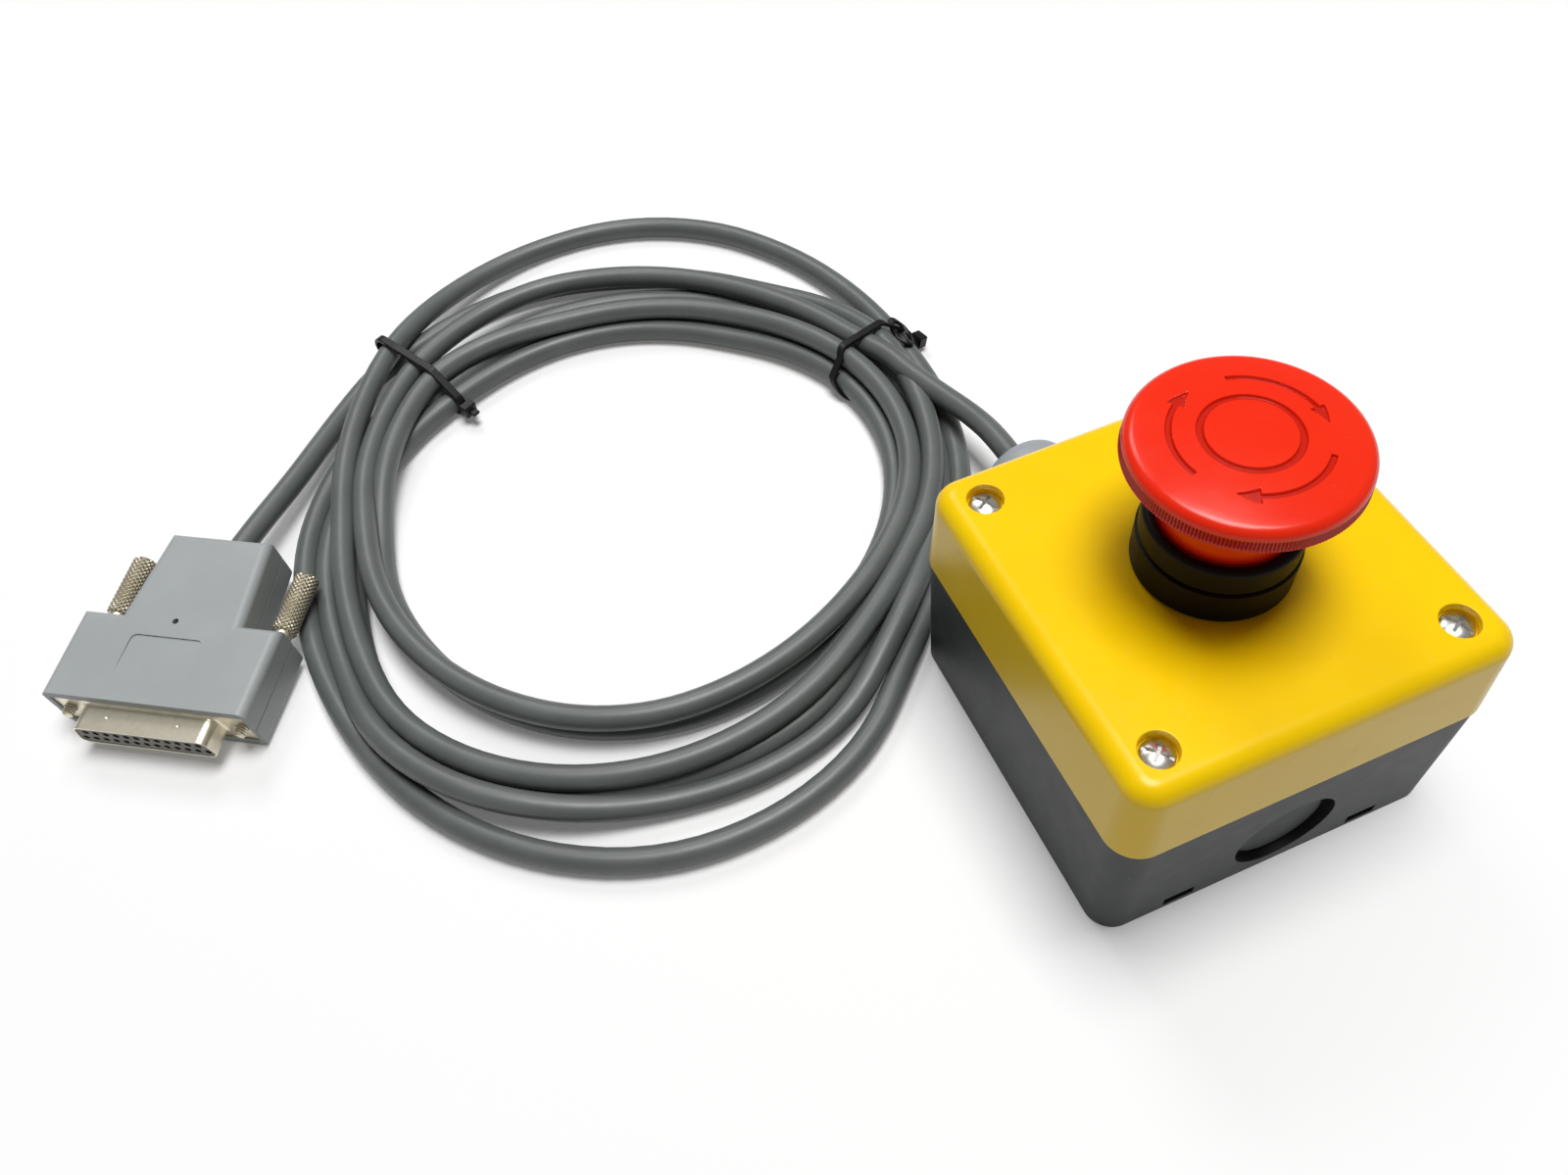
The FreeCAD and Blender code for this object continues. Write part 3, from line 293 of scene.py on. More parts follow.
@dataclass(frozen=True)
class Moulding(Finish):
    """Moulded plastic or rubber: a faintly clouded colour, a fine grain, and rubbed and scratched places.

    Attributes:
        colour: main colour.
        cloud: colour that it drifts towards in soft clouds.
        roughness: how matt it is.
        grain: width of the grain in metres.
        relief: height of the grain in metres.
        scuff: colour of fine scratches.
        wear: strength of those scratches, from 0 to 1.
        painted_shade_colour: colour of the painted shade in grooves and recesses.
        gloss: level of the surface's own reflection, where 0.5 is that of common plastic.
    """

    colour: Colour
    cloud: Colour
    roughness: float
    grain: float = 0.35 * MM
    relief: float = 0.02 * MM
    scuff: Colour = paint(190, 190, 190)
    wear: float = 0.0
    painted_shade_colour: Colour = paint(7, 8, 9)
    gloss: float = 0.5

    CLOUD_SIZE = 18 * MM
    CLOUD_DETAIL = 4.0
    CLOUD_RANGE = (0.35, 0.7)
    RUB_SIZE = 5 * MM
    RUB_DETAIL = 5.0
    RUB_RANGE = (0.5, 0.64)
    RUB_ROUGHNESS = 0.12
    GRAIN_ROUGHNESS = 0.06
    SCRATCH_SIZE = 2.4 * MM
    SCRATCH_DETAIL = 3.0
    SCRATCH_RANGE = (0.68, 0.74)
    SCRATCH_STRETCH = (1.0, 9.0, 3.0)
    SCRATCH_TURN = (0.5, 0.3, 0.8)
    SCRATCH_ROUGHNESS = 0.2
    SCRATCH_DEPTH = 0.6

    def shader(self, graph: Graph) -> Wire:
        """Clouds, grain and scratches on plastic.

        Args:
            graph: the new material's graph.

        Returns:
            The shader.
        """
        clouds = graph.noise(self.CLOUD_SIZE, self.CLOUD_DETAIL).ramp(*self.CLOUD_RANGE)
        rubbed = graph.noise(self.RUB_SIZE, self.RUB_DETAIL)
        drawn = graph.place(self.SCRATCH_STRETCH, self.SCRATCH_TURN)
        lines = graph.noise(self.SCRATCH_SIZE, self.SCRATCH_DETAIL, drawn)
        scratched = lines.ramp(*self.SCRATCH_RANGE) * rubbed.ramp(*self.RUB_RANGE) * self.wear
        grain = graph.noise(self.grain)
        colour = graph.mix(scratched, graph.mix(clouds, self.colour, self.cloud), self.scuff)
        smoothest = self.roughness - (self.RUB_ROUGHNESS + self.GRAIN_ROUGHNESS) / 2
        matt = rubbed * self.RUB_ROUGHNESS + grain * self.GRAIN_ROUGHNESS
        inputs = {
            # Painted shade: the colour darkens towards the shade colour by the share that shade() gives.
            "Base Color": graph.mix(self.shade(graph), colour, self.painted_shade_colour),
            "Roughness": matt + scratched * self.SCRATCH_ROUGHNESS + smoothest,
            "Normal": graph.bump(grain - scratched * self.SCRATCH_DEPTH, self.relief),
            "Specular IOR Level": self.gloss,
        }
        return graph.node("ShaderNodeBsdfPrincipled", inputs=inputs)

    def shade(self, graph: Graph) -> Wire:
        """Share of painted shade at a place."""
        return graph.groove()


@dataclass(frozen=True)
class BaseMoulding(Moulding):
    """Base moulding with painted shade in its entry ring and slots, and a painted shadow under the cover.

    Attributes:
        face: half width of the base at its foot, in millimetres as all that follow.
        draft: growth of that half width with the height.
        entry_height: height of the entry's axis.
        disc_radius: radius of the disc inside the ring.
        half_width: half width of the stretch that has ring and slots.
        underside: height under which nothing is dark.
        seam: height from which the cover's shadow falls.
    """

    face: float = 42.8
    draft: float = 0.9 / 37.8
    entry_height: float = 15.2
    disc_radius: float = 9.95
    half_width: float = 34.0
    underside: float = 1.0
    seam: float = 37.3

    # Width in millimetres over which one colour passes into the other.
    SOFT = 0.15

    def shade(self, graph: Graph) -> Wire:
        """Share of painted shade: sunk behind the face but off the disc, or just below the cover.

        Args:
            graph: the new material's graph.

        Returns:
            The share from 0 to 1.
        """
        x, y, z = graph.millimetres()
        depth = z * self.draft + self.face - y.magnitude()
        above = z - self.entry_height
        from_axis = (x * x + above * above).root()
        off_disc = from_axis.ramp(self.disc_radius, self.disc_radius + self.SOFT)
        between = x.magnitude().ramp(self.half_width + self.SOFT, self.half_width)
        raised = z.ramp(self.underside, self.underside + self.SOFT)
        # Painted shade in the sunk ring and slots, plus a painted shadow just below the cover's edge.
        sunk = depth.ramp(self.SOFT, 2 * self.SOFT) * off_disc * between * raised
        return (sunk + z.ramp(self.seam, self.seam + self.SOFT)).at_most(1.0)


@dataclass(frozen=True)
class SocketMoulding(Moulding):
    """Moulding of the connector's insulator, with painted shade in its contact holes.

    Attributes:
        face: a place on its front, in millimetres.
        inward: direction from the front into the holes.
    """

    face: tuple[float, float, float] = (-231.05, 92.81, 7.73)
    inward: tuple[float, float, float] = (0.53293, 0.84432, 0.05582)

    # Half the width in millimetres over which one colour passes into the other.
    SOFT = 0.1

    def shade(self, graph: Graph) -> Wire:
        """Share of painted shade: behind the front.

        Args:
            graph: the new material's graph.

        Returns:
            The share from 0 to 1.
        """
        x, y, z = (place - middle for place, middle in zip(graph.millimetres(), self.face))
        depth = x * self.inward[0] + y * self.inward[1] + z * self.inward[2]
        # Painted shade in the contact holes, from just behind the front.
        return depth.ramp(self.SOFT, 3 * self.SOFT)


@dataclass(frozen=True)
class Plating(Finish):
    """Bright plated metal: fine drawn lines, soft stains and dull patches.

    Attributes:
        colour: clean metal.
        stain: colour of its tarnish.
        roughness: how matt it is.
        streak: width of the drawn lines in metres.
        relief: depth of the lines in metres.
        painted_shade_colour: colour of the painted shade in knurls, threads and slots.
    """

    colour: Colour
    stain: Colour
    roughness: float
    streak: float = 0.12 * MM
    relief: float = 0.004 * MM
    painted_shade_colour: Colour = paint(58, 52, 40)

    STAIN_SIZE = 3.5 * MM
    STAIN_DETAIL = 5.0
    STAIN_RANGE = (0.42, 0.75)
    STAIN_ROUGHNESS = 0.16
    STREAK_STRETCH = (1.0, 0.12, 1.0)
    STREAK_TURN = (0.0, 0.0, 0.6)
    STREAK_ROUGHNESS = 0.1
    CUT_ROUGHNESS = 0.2

    def shader(self, graph: Graph) -> Wire:
        """Stains and drawn lines on metal.

        Args:
            graph: the new material's graph.

        Returns:
            The shader.
        """
        stains = graph.noise(self.STAIN_SIZE, self.STAIN_DETAIL)
        lines = graph.noise(self.streak, place=graph.place(self.STREAK_STRETCH, self.STREAK_TURN))
        metal = graph.mix(stains.ramp(*self.STAIN_RANGE), self.colour, self.stain)
        cut = graph.groove()
        smoothest = self.roughness - (self.STAIN_ROUGHNESS + self.STREAK_ROUGHNESS) / 2
        matt = stains * self.STAIN_ROUGHNESS + lines * self.STREAK_ROUGHNESS
        inputs = {
            # Painted shade: the metal darkens towards the shade colour in knurls, threads and slots.
            "Base Color": graph.mix(cut, metal, self.painted_shade_colour),
            "Metallic": 1.0,
            "Roughness": matt + cut * self.CUT_ROUGHNESS + smoothest,
            "Normal": graph.bump(lines, self.relief),
        }
        return graph.node("ShaderNodeBsdfPrincipled", inputs=inputs)


@dataclass(frozen=True)
class FloorPaper(Finish):
    """White paper that keeps soft shadows round the part and shows white to the camera farther off.

    Attributes:
        colour: paper as the camera and mirrors see it.
        bounce: paper as light on the part meets it.
        lift: share of plain white that camera and mirror rays see beside the part.
        far_lift: that share far from it.
        middle: place in millimetres that the distance is counted from.
        near: distance in millimetres up to which the first share holds.
        far: distance in millimetres from which the second one holds.
    """

    colour: Colour
    bounce: Colour
    lift: float
    far_lift: float
    middle: tuple[float, float] = (-100.0, 100.0)
    near: float = 140.0
    far: float = 280.0

    FIBRE_SIZE = 0.6 * MM
    FIBRE_DETAIL = 3.0
    FIBRE_RELIEF = 0.004 * MM

    def shader(self, graph: Graph) -> Wire:
        """Paper, with white mixed in for rays that see it directly.

        Args:
            graph: the new material's graph.

        Returns:
            The shader.
        """
        fibres = graph.bump(graph.noise(self.FIBRE_SIZE, self.FIBRE_DETAIL), self.FIBRE_RELIEF)
        paper, dull = (graph.node("ShaderNodeBsdfDiffuse", inputs={"Color": colour, "Normal": fibres})
                       for colour in (self.colour, self.bounce))
        white = graph.node("ShaderNodeEmission", inputs={"Color": WHITE, "Strength": 1.0})
        x, y, _ = graph.millimetres()
        aside, ahead = x - self.middle[0], y - self.middle[1]
        away = (aside * aside + ahead * ahead).root().ramp(self.near, self.far)
        share = away * (self.far_lift - self.lift) + self.lift
        seen = graph.node("ShaderNodeMixShader", inputs={0: share, 1: paper, 2: white})
        return graph.node("ShaderNodeMixShader", inputs={0: seen_directly(graph), 1: dull, 2: seen})


def ray_kinds(graph: Graph) -> tuple[Wire, Wire, Wire]:
    """One or zero each for rays from the camera, from mirrors and through glass.

    Args:
        graph: the graph that asks.

    Returns:
        The three values.
    """
    kinds = ("Is Camera Ray", "Is Glossy Ray", "Is Transmission Ray")
    camera, glossy, clear = (graph.node("ShaderNodeLightPath", output=kind) for kind in kinds)
    return camera, glossy, clear


def seen_directly(graph: Graph) -> Wire:
    """One for rays from the camera, from mirrors or through glass, and zero for light."""
    camera, glossy, clear = ray_kinds(graph)
    return (camera + glossy + clear).at_most(1.0)


FINISHES: dict[str, Finish] = {
    "yellow_cover": Moulding(paint(250, 206, 0), paint(252, 210, 0), roughness=0.25, grain=0.5 * MM,
                             relief=0.008 * MM, scuff=paint(214, 186, 110), wear=0.7, gloss=0.26),
    # Grey base: painted shade in its entry ring and slots and below the cover, in the default shade colour.
    "grey_base": BaseMoulding(paint(38, 42, 42), paint(43, 47, 47), roughness=0.5, grain=0.3 * MM,
                              relief=0.03 * MM, scuff=paint(120, 122, 120), wear=0.5, gloss=0.4),
    # Red head: its shade colour is painted shade for the marks and the ribs.
    "red_head": Moulding(paint(240, 38, 2), paint(242, 43, 5), roughness=0.24, grain=0.45 * MM,
                         relief=0.01 * MM, scuff=paint(240, 110, 96), wear=0.3, painted_shade_colour=paint(150, 4, 0),
                         gloss=0.35),
    "black_plastic": Moulding(paint(12, 11, 10), paint(15, 13, 11), roughness=0.48, grain=0.4 * MM,
                              relief=0.012 * MM, scuff=paint(60, 54, 46), wear=0.4, gloss=0.12),
    "gland_grey": Moulding(paint(150, 156, 162), paint(155, 161, 167), roughness=0.45, grain=0.4 * MM,
                           relief=0.02 * MM, scuff=paint(160, 165, 168), wear=0.3),
    "rubber": Moulding(paint(26, 26, 26), paint(33, 33, 33), roughness=0.7, grain=0.25 * MM,
                       relief=0.03 * MM),
    "spring_steel": Plating(paint(196, 196, 196), paint(150, 150, 152), roughness=0.28),
    "zinc_steel": Plating(paint(214, 212, 206), paint(176, 172, 160), roughness=0.26),
    # Nickel: its shade colour is painted shade in the thumbscrews' knurl, thread and slot.
    "nickel": Plating(paint(232, 225, 205), paint(212, 204, 184), roughness=0.36,
                      painted_shade_colour=paint(138, 128, 105)),
    "brass": Plating(paint(206, 168, 88), paint(160, 122, 60), roughness=0.3),
    "block_plastic": Moulding(paint(205, 205, 200), paint(198, 198, 192), roughness=0.5),
    # Insulator: painted shade in its contact holes, in the default shade colour.
    "insulator": SocketMoulding(paint(126, 124, 116), paint(134, 132, 124), roughness=0.55),
    "cable_jacket": Moulding(paint(89, 94, 92), paint(96, 101, 99), roughness=0.42, grain=0.5 * MM,
                             relief=0.012 * MM, scuff=paint(140, 143, 142), wear=0.35, gloss=0.6),
    "hood_grey": Moulding(paint(158, 163, 163), paint(163, 168, 168), roughness=0.48, grain=0.28 * MM,
                          relief=0.02 * MM, scuff=paint(176, 181, 182), wear=0.35),
    "nylon_tie": Moulding(paint(13, 13, 13), paint(20, 20, 20), roughness=0.36, grain=0.3 * MM,
                          relief=0.01 * MM, gloss=0.25),
}


# Surfaces

def show(name: str, data: bpy.types.ID) -> bpy.types.Object:
    """Makes an object of its data and puts it in the scene.

    Args:
        name: the object's name.
        data: its mesh, curve, lamp or camera.

    Returns:
        The object.
    """
    shown = bpy.data.objects.new(name, data)
    bpy.context.scene.collection.objects.link(shown)
    return shown


def line(start: Sequence[float], end: Sequence[float], count: int) -> np.ndarray:
    """Points evenly along a straight line, without its end.

    Args:
        start: first point.
        end: point after the last.
        count: number of points.

    Returns:
        Array of count points.
    """
    share = np.arange(count)[:, None] / count
    return np.asarray(start) * (1 - share) + np.asarray(end) * share


def arc(start: Sequence[float], through: Sequence[float], end: Sequence[float], count: int) -> np.ndarray:
    """Points along the circle through three points of a plane, without its end.

    The centre is equally far from the three points, which gives two linear equations.

    Args:
        start: first point.
        through: a point on the way.
        end: point after the last.
        count: number of points.

    Returns:
        Array of count points.
    """
    a, b, c = (np.asarray(point, float) for point in (start, through, end))
    centre = np.linalg.solve(2 * np.array([b - a, c - a]), [b @ b - a @ a, c @ c - a @ a])
    angles = np.unwrap([math.atan2(*(point - centre)[::-1]) for point in (a, b, c)])
    turn = angles[0] + (angles[2] - angles[0]) * np.arange(count) / count
    return centre + np.hypot(*(a - centre)) * np.stack([np.cos(turn), np.sin(turn)], 1)


def surface(name: str, points: np.ndarray, wrap_rows: bool = False, groove: np.ndarray | None = None,
            sharp: float = 40.0) -> bpy.types.Object:
    """Makes a piece from a grid of points whose columns close on themselves.

    Args:
        name: the piece's name.
        points: array of rows, columns and three places in millimetres.
        wrap_rows: whether the last row meets the first.
        groove: share of painted shade at each point, from a cut pattern, or none.
        sharp: angle in degrees from which an edge stays sharp.

    Returns:
        The piece, at the origin.
    """
    rows, columns = points.shape[:2]
    index = np.arange(rows * columns).reshape(rows, columns)
    index = np.concatenate([index, index[:, :1]], 1)
    if wrap_rows:
        index = np.concatenate([index, index[:1]], 0)
    quads = np.stack([index[:-1, :-1], index[1:, :-1], index[1:, 1:], index[:-1, 1:]], -1).reshape(-1, 4)
    mesh = bpy.data.meshes.new(name)
    mesh.from_pydata((points.reshape(-1, 3) * MM).tolist(), [], quads.tolist())
    if groove is not None:
        shares = mesh.attributes.new(GROOVE, "FLOAT", "POINT")
        shares.data.foreach_set("value", groove.astype(np.float32).ravel())
    close_seams(mesh)
    mesh.shade_smooth()
    mesh.set_sharp_from_angle(angle=math.radians(sharp))
    return show(name, mesh)


def close_seams(mesh: bpy.types.Mesh) -> None:
    """Merges points that fall together and turns all faces outwards.

    Args:
        mesh: the mesh to mend.
    """
    work = bmesh.new()
    work.from_mesh(mesh)
    bmesh.ops.remove_doubles(work, verts=work.verts, dist=MERGE_DISTANCE)
    bmesh.ops.recalc_face_normals(work, faces=work.faces)
    work.to_mesh(mesh)
    work.free()


def around(reach: np.ndarray, turn: np.ndarray, height: np.ndarray) -> np.ndarray:
    """Places (r cos t, r sin t, z) round the upright axis."""
    return np.stack([reach * np.cos(turn), reach * np.sin(turn), height], -1)


def soft_step(inside: np.ndarray, width: float) -> np.ndarray:
    """Rises from 0 to 1 across a width, where the signed distance inside an outline is zero."""
    return np.clip(inside / width + 0.5, 0, 1)


def triangle_wave(phase: np.ndarray) -> np.ndarray:
    """Falls from 1 to 0 and rises back once in each unit of phase."""
    return np.abs(2 * (phase - np.floor(phase)) - 1)


# Sub-assemblies

@dataclass(frozen=True)
class CoilSpring:
    """Compression spring on an upright axis, which the button shortens by its travel; it is drawn at rest.

    Attributes:
        node: the plain solid that it stands for.
        middle: place of its axis in millimetres, as all that follow but the turns.
        radius: radius of the wire's middle line.
        wire: diameter of the wire.
        low: height of its foot.
        high: height of its top at rest.
        turns: number of turns.
    """

    node: str
    middle: tuple[float, float]
    radius: float
    wire: float
    low: float
    high: float
    turns: int

    # Steps in a turn, sides of the wire, room left at both ends, and what shortens the spring by how much.
    STEPS = 24
    SIDES = 10
    GAP = 0.05
    JOINT = "button_press"
    TRAVEL = 5.5

    def points(self) -> np.ndarray:
        """The wire: a round section carried up a helix of even rise, and drawn to a point at both ends.

        Returns:
            Grid of points.
        """
        share = np.linspace(0, 1, self.turns * self.STEPS + 1)
        share = np.concatenate([share[:1], share, share[-1:]])[:, None]
        half = np.full_like(share, self.wire / 2)
        half[[0, -1]] = 0
        turn = 2 * np.pi * self.turns * share
        side = np.linspace(0, 2 * np.pi, self.SIDES, endpoint=False)[None, :]
        reach = self.radius + half * np.cos(side)
        rise = self.high - self.low - self.wire - 2 * self.GAP
        height = self.low + self.GAP + self.wire / 2 + rise * share + half * np.sin(side)
        return np.array([*self.middle, 0]) + around(reach, turn, height)

    def shorten(self, piece: bpy.types.Object) -> None:
        """Gives the piece a mesh of its own.

        Args:
            piece: the spring's piece.
        """
        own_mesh(piece)


@dataclass
class SubAssembly:
    """Group of pieces that is built and dressed together.

    Attributes:
        materials: the finishes by slot.
        nodes: names of the solids that it shows.
    """

    materials: Mapping[str, bpy.types.Material]
    nodes: tuple[str, ...] = ()

    def build(self) -> list[bpy.types.Object]:
        """Adds the group's own pieces.

        Returns:
            The pieces; a group of solids alone has none.
        """
        return []

    def dress(self) -> None:
        """Gives each of the group's solids the finish of its slot."""
        slots = {row["node"]: row["material_slot"] for row in frame["record"]["subparts"]}
        for node in self.nodes:
            solid = frame["nodes"][node]
            solid.data.materials.clear()
            solid.data.materials.append(self.materials[slots[node]])
            log.info("dressed %s as %s", node, slots[node])

    def add(self, piece: bpy.types.Object, slot: str, body: str, *replaced: str) -> bpy.types.Object:
        """Finishes a new piece and fixes it to its body.

        Args:
            piece: the new piece.
            slot: the finish's slot.
            body: the body that it moves with.
            replaced: solids that it stands for.

        Returns:
            The piece.
        """
        piece.data.materials.append(self.materials[slot])
        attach(piece, body)
        if replaced:
            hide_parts(*replaced)
        log.info("built %s on %s", piece.name, body)
        return piece

    def add_spring(self, spring: CoilSpring) -> bpy.types.Object:
        """Makes and finishes a spring with a mesh of its own.

        Args:
            spring: the spring.

        Returns:
            Its piece.
        """
        piece = surface("coiled_" + spring.node, spring.points())
        self.add(piece, "spring_steel", "station", spring.node)
        spring.shorten(piece)
        return piece


CORNERS = ("front_left", "front_right", "rear_left", "rear_right")
HANDS = ("left", "right")
CONTACT_AXES = (-7.5, 7.5)


@dataclass
class Enclosure(SubAssembly):
    """Base, cover, gasket and the four cover screws."""

    nodes: tuple[str, ...] = ("base_housing", "cover", "cover_gasket",
                              *("cover_screw_" + corner for corner in CORNERS))


@dataclass
class Contacts(SubAssembly):
    """Contact carrier and the two contact blocks with their inner pieces."""

    nodes: tuple[str, ...] = (
        "contact_carrier",
        *(f"contact_{kind}_{hand}" for kind in ("block", "plunger", "bridge") for hand in HANDS),
        *(kind + corner for kind in ("fixed_contact_", "terminal_screw_") for corner in CORNERS),
    )
    springs: tuple[CoilSpring, ...] = tuple(
        CoilSpring("contact_spring_" + hand, (x, 0.0), radius=2.45, wire=0.5, low=13.5, high=21.5, turns=4)
        for hand, x in zip(HANDS, CONTACT_AXES))

    def build(self) -> list[bpy.types.Object]:
        """Adds both springs.

        Returns:
            The two springs.
        """
        return [self.add_spring(spring) for spring in self.springs]


@dataclass
class Gland(SubAssembly):
    """Cable gland with its nuts, its seal and the cable's end inside it."""

    nodes: tuple[str, ...] = ("gland_body", "gland_locknut", "gland_dome_nut", "gland_seal", "cable_tail")


@dataclass
class MushroomButton(SubAssembly):
    """Operator with its collar, spring and plunger, and the head with cut marks and a ribbed rim.

    Attributes are the head's sizes in millimetres, with heights above the floor, angles in degrees, shares of
    painted shade, and numbers of points along its section.
    """

    nodes: tuple[str, ...] = ("operator_body", "panel_seal", "panel_nut", "latch_clip", "plunger",
                              "head_clip")
    spring: CoilSpring = CoilSpring("return_spring", (0.0, 0.0), radius=9.4, wire=1.2, low=63.2, high=91.5,
                                    turns=5)
    bore: float = 5.05
    socket_low: float = 72.0
    socket_radius: float = 7.5
    socket_top: float = 90.6
    hollow_top: float = 91.5
    skirt_bore: float = 11.3
    skirt_radius: float = 13.5
    skirt_end: float = 69.6
    flare_start: float = 80.5
    flare_middle: tuple[float, float] = (15.4, 87.4)
    flare_end: float = 20.6
    rim_radius: float = 22.9
    rim_low: float = 90.8
    rim_high: float = 93.7
    rim_top_radius: float = 22.7
    roll_width: float = 2.6
    roll_height: float = 2.25
    roll_sweep: float = 80.0
    edge: float = 0.4
    dome_edge: float = 20.55
    dome_drop: float = 1.48
    top: float = 97.4
    rib_count: int = 210
    rib_samples: int = 4
    rib_start: float = 0.5
    rib_end: float = 2.8
    rib_depth: float = 0.35
    rib_shade: float = 0.7
    rib_crest_shade: float = 0.25
    mark_shade: float = 0.6
    mark_depth: float = 0.5
    mark_wall: float = 0.16
    ring_radius: float = 9.1
    ring_half: float = 0.62
    arrow_radius: float = 14.6
    arrow_half: float = 0.5
    arrow_sweep: float = 72.0
    arrow_barb: float = 1.6
    arrow_point: float = 4.2
    arrow_starts: tuple[float, ...] = (74.0, 194.0, 314.0)
    flare_points: int = 12
    lip_points: int = 3
    edge_points: int = 2
    side_points: int = 10
    roll_points: int = 16
    dome_points: int = 16
    ring_points: int = 13
    ring_reach: float = 0.9
    arrow_points: int = 30
    arrow_reach: float = 2.1
    tolerance: float = 0.01

    def build(self) -> list[bpy.types.Object]:
        """Adds the head and the spring in place of their plain solids.

        Returns:
            The head and the spring.
        """
        points, groove = self.head_points()
        head = surface("head", points, groove=groove)
        return [self.add(head, "red_head", "head", "mushroom_head"), self.add_spring(self.spring)]

    def dome(self, radius: np.ndarray) -> np.ndarray:
        """Height of the shallow spherical dome: top - (R - sqrt(R² - r²)), with R from its edge and drop.

        Args:
            radius: distances from the axis.

        Returns:
            Heights.
        """
        sphere = (self.dome_edge ** 2 + self.dome_drop ** 2) / (2 * self.dome_drop)
        return self.top - sphere + np.sqrt(sphere ** 2 - radius ** 2)

    def profile(self) -> np.ndarray:
        """Radius and height along the head's section, from its bore out over the rim to the axis.

        The rim rolls over to the dome along a quarter of an ellipse: its radius falls by
        roll_width · (1 - cos t) and its height grows by roll_height · sin t.

        Returns:
            Array of points.
        """
        plain = [(self.bore, self.socket_low), (self.socket_radius, self.socket_low),
                 (self.socket_radius, self.hollow_top), (self.skirt_bore, self.hollow_top),
                 (self.skirt_bore, self.skirt_end + self.edge),
                 (self.skirt_bore + self.edge, self.skirt_end),
                 (self.skirt_radius - self.edge, self.skirt_end),
                 (self.skirt_radius, self.skirt_end + self.edge)]
        foot, flare_end = (self.skirt_radius, self.flare_start), (self.flare_end, self.rim_low)
        lip = (self.rim_radius - self.edge, self.rim_low)
        side, side_end = (self.rim_radius, self.rim_low + self.edge), (self.rim_top_radius, self.rim_high)
        roll = np.radians(np.linspace(0, self.roll_sweep, self.roll_points, endpoint=False))
        ring = np.linspace(-self.ring_reach, self.ring_reach, self.ring_points)
        arrows = np.linspace(-self.arrow_reach, self.arrow_reach, self.arrow_points)
        dome_radii = np.concatenate([np.linspace(0, self.dome_edge, self.dome_points),
                                     self.ring_radius + ring, self.arrow_radius + arrows])
        radii = np.unique(dome_radii)[::-1]
        return np.vstack([
            plain, arc(foot, self.flare_middle, flare_end, self.flare_points),
            line(flare_end, lip, self.lip_points), line(lip, side, self.edge_points),
            line(side, side_end, self.side_points),
            np.stack([self.rim_top_radius - self.roll_width * (1 - np.cos(roll)),
                      self.rim_high + self.roll_height * np.sin(roll)], 1),
            np.stack([radii, self.dome(radii)], 1),
            [(0.0, self.socket_top), (self.bore, self.socket_top)],
        ])

    def arrow_inside(self, radius: np.ndarray, turn: np.ndarray, start: float) -> np.ndarray:
        """Signed distance inside one curved arrow: a band along an arc, then a wedge to its point.

        Args:
            radius: distances from the axis.
            turn: angles in degrees.
            start: angle of the arrow's tail.

        Returns:
            Distances, above zero inside.
        """
        along = np.radians((start - turn) % 360) * self.arrow_radius
        aside = np.abs(radius - self.arrow_radius)
        shaft_end = math.radians(self.arrow_sweep) * self.arrow_radius
        shaft = np.minimum(np.minimum(along, shaft_end + self.edge - along), self.arrow_half - aside)
        ahead = along - shaft_end
        wedge = np.minimum(self.arrow_barb * (1 - ahead / self.arrow_point) - aside, ahead)
        return np.maximum(shaft, wedge)

    def head_points(self) -> tuple[np.ndarray, np.ndarray]:
        """The head: its section turned about the axis, with ribs on the rim and marks sunk in the dome.

        The ribs take rib_depth · (1 - cos(rib_count · angle)) / 2 off the rim's side above its plain lip,
        and the marks take mark_depth off the height inside the ring and the arrows.

        Returns:
            Grid of points, and the share of painted shade in the marks and on the ribbed band at each.
        """
        section = self.profile()
        turn = np.linspace(0, 360, self.rib_count * self.rib_samples, endpoint=False)[None, :]
        radius, height = section[:, :1], section[:, 1:]
        on_rim = radius > self.rim_top_radius - self.tolerance
        on_rim &= height < self.rim_high + self.tolerance
        up = height - self.rim_low
        band = on_rim * soft_step(np.minimum(up - self.rib_start, self.rib_end - up), self.edge)
        ribs = band * (1 - np.cos(np.radians(turn) * self.rib_count)) / 2
        # Painted shade on the rim's side: a share over the whole ribbed band, and more between the ribs.
        rib_shade = self.rib_crest_shade * band + (self.rib_shade - self.rib_crest_shade) * ribs
        on_dome = height > self.top - self.dome_drop - self.tolerance
        ring = self.ring_half - np.abs(radius - self.ring_radius) + 0 * turn
        arrows = [self.arrow_inside(radius, turn, start) for start in self.arrow_starts]
        # Painted shade in the ring and the arrows, by mark_shade.
        marks = on_dome * soft_step(np.max([ring, *arrows], 0), self.mark_wall)
        reach = radius - self.rib_depth * ribs
        sunk = height - self.mark_depth * marks
        return around(reach, np.radians(turn), sunk), self.mark_shade * marks + rib_shade


class Level(Enum):
    """Height of a strand's centre in millimetres: on the floor, between two strands, or over one."""

    FLOOR = 3.2
    UPPER = 8.8
    OVER = 9.6


LEVEL_LETTERS = {level.name[0].lower(): level.value for level in Level}


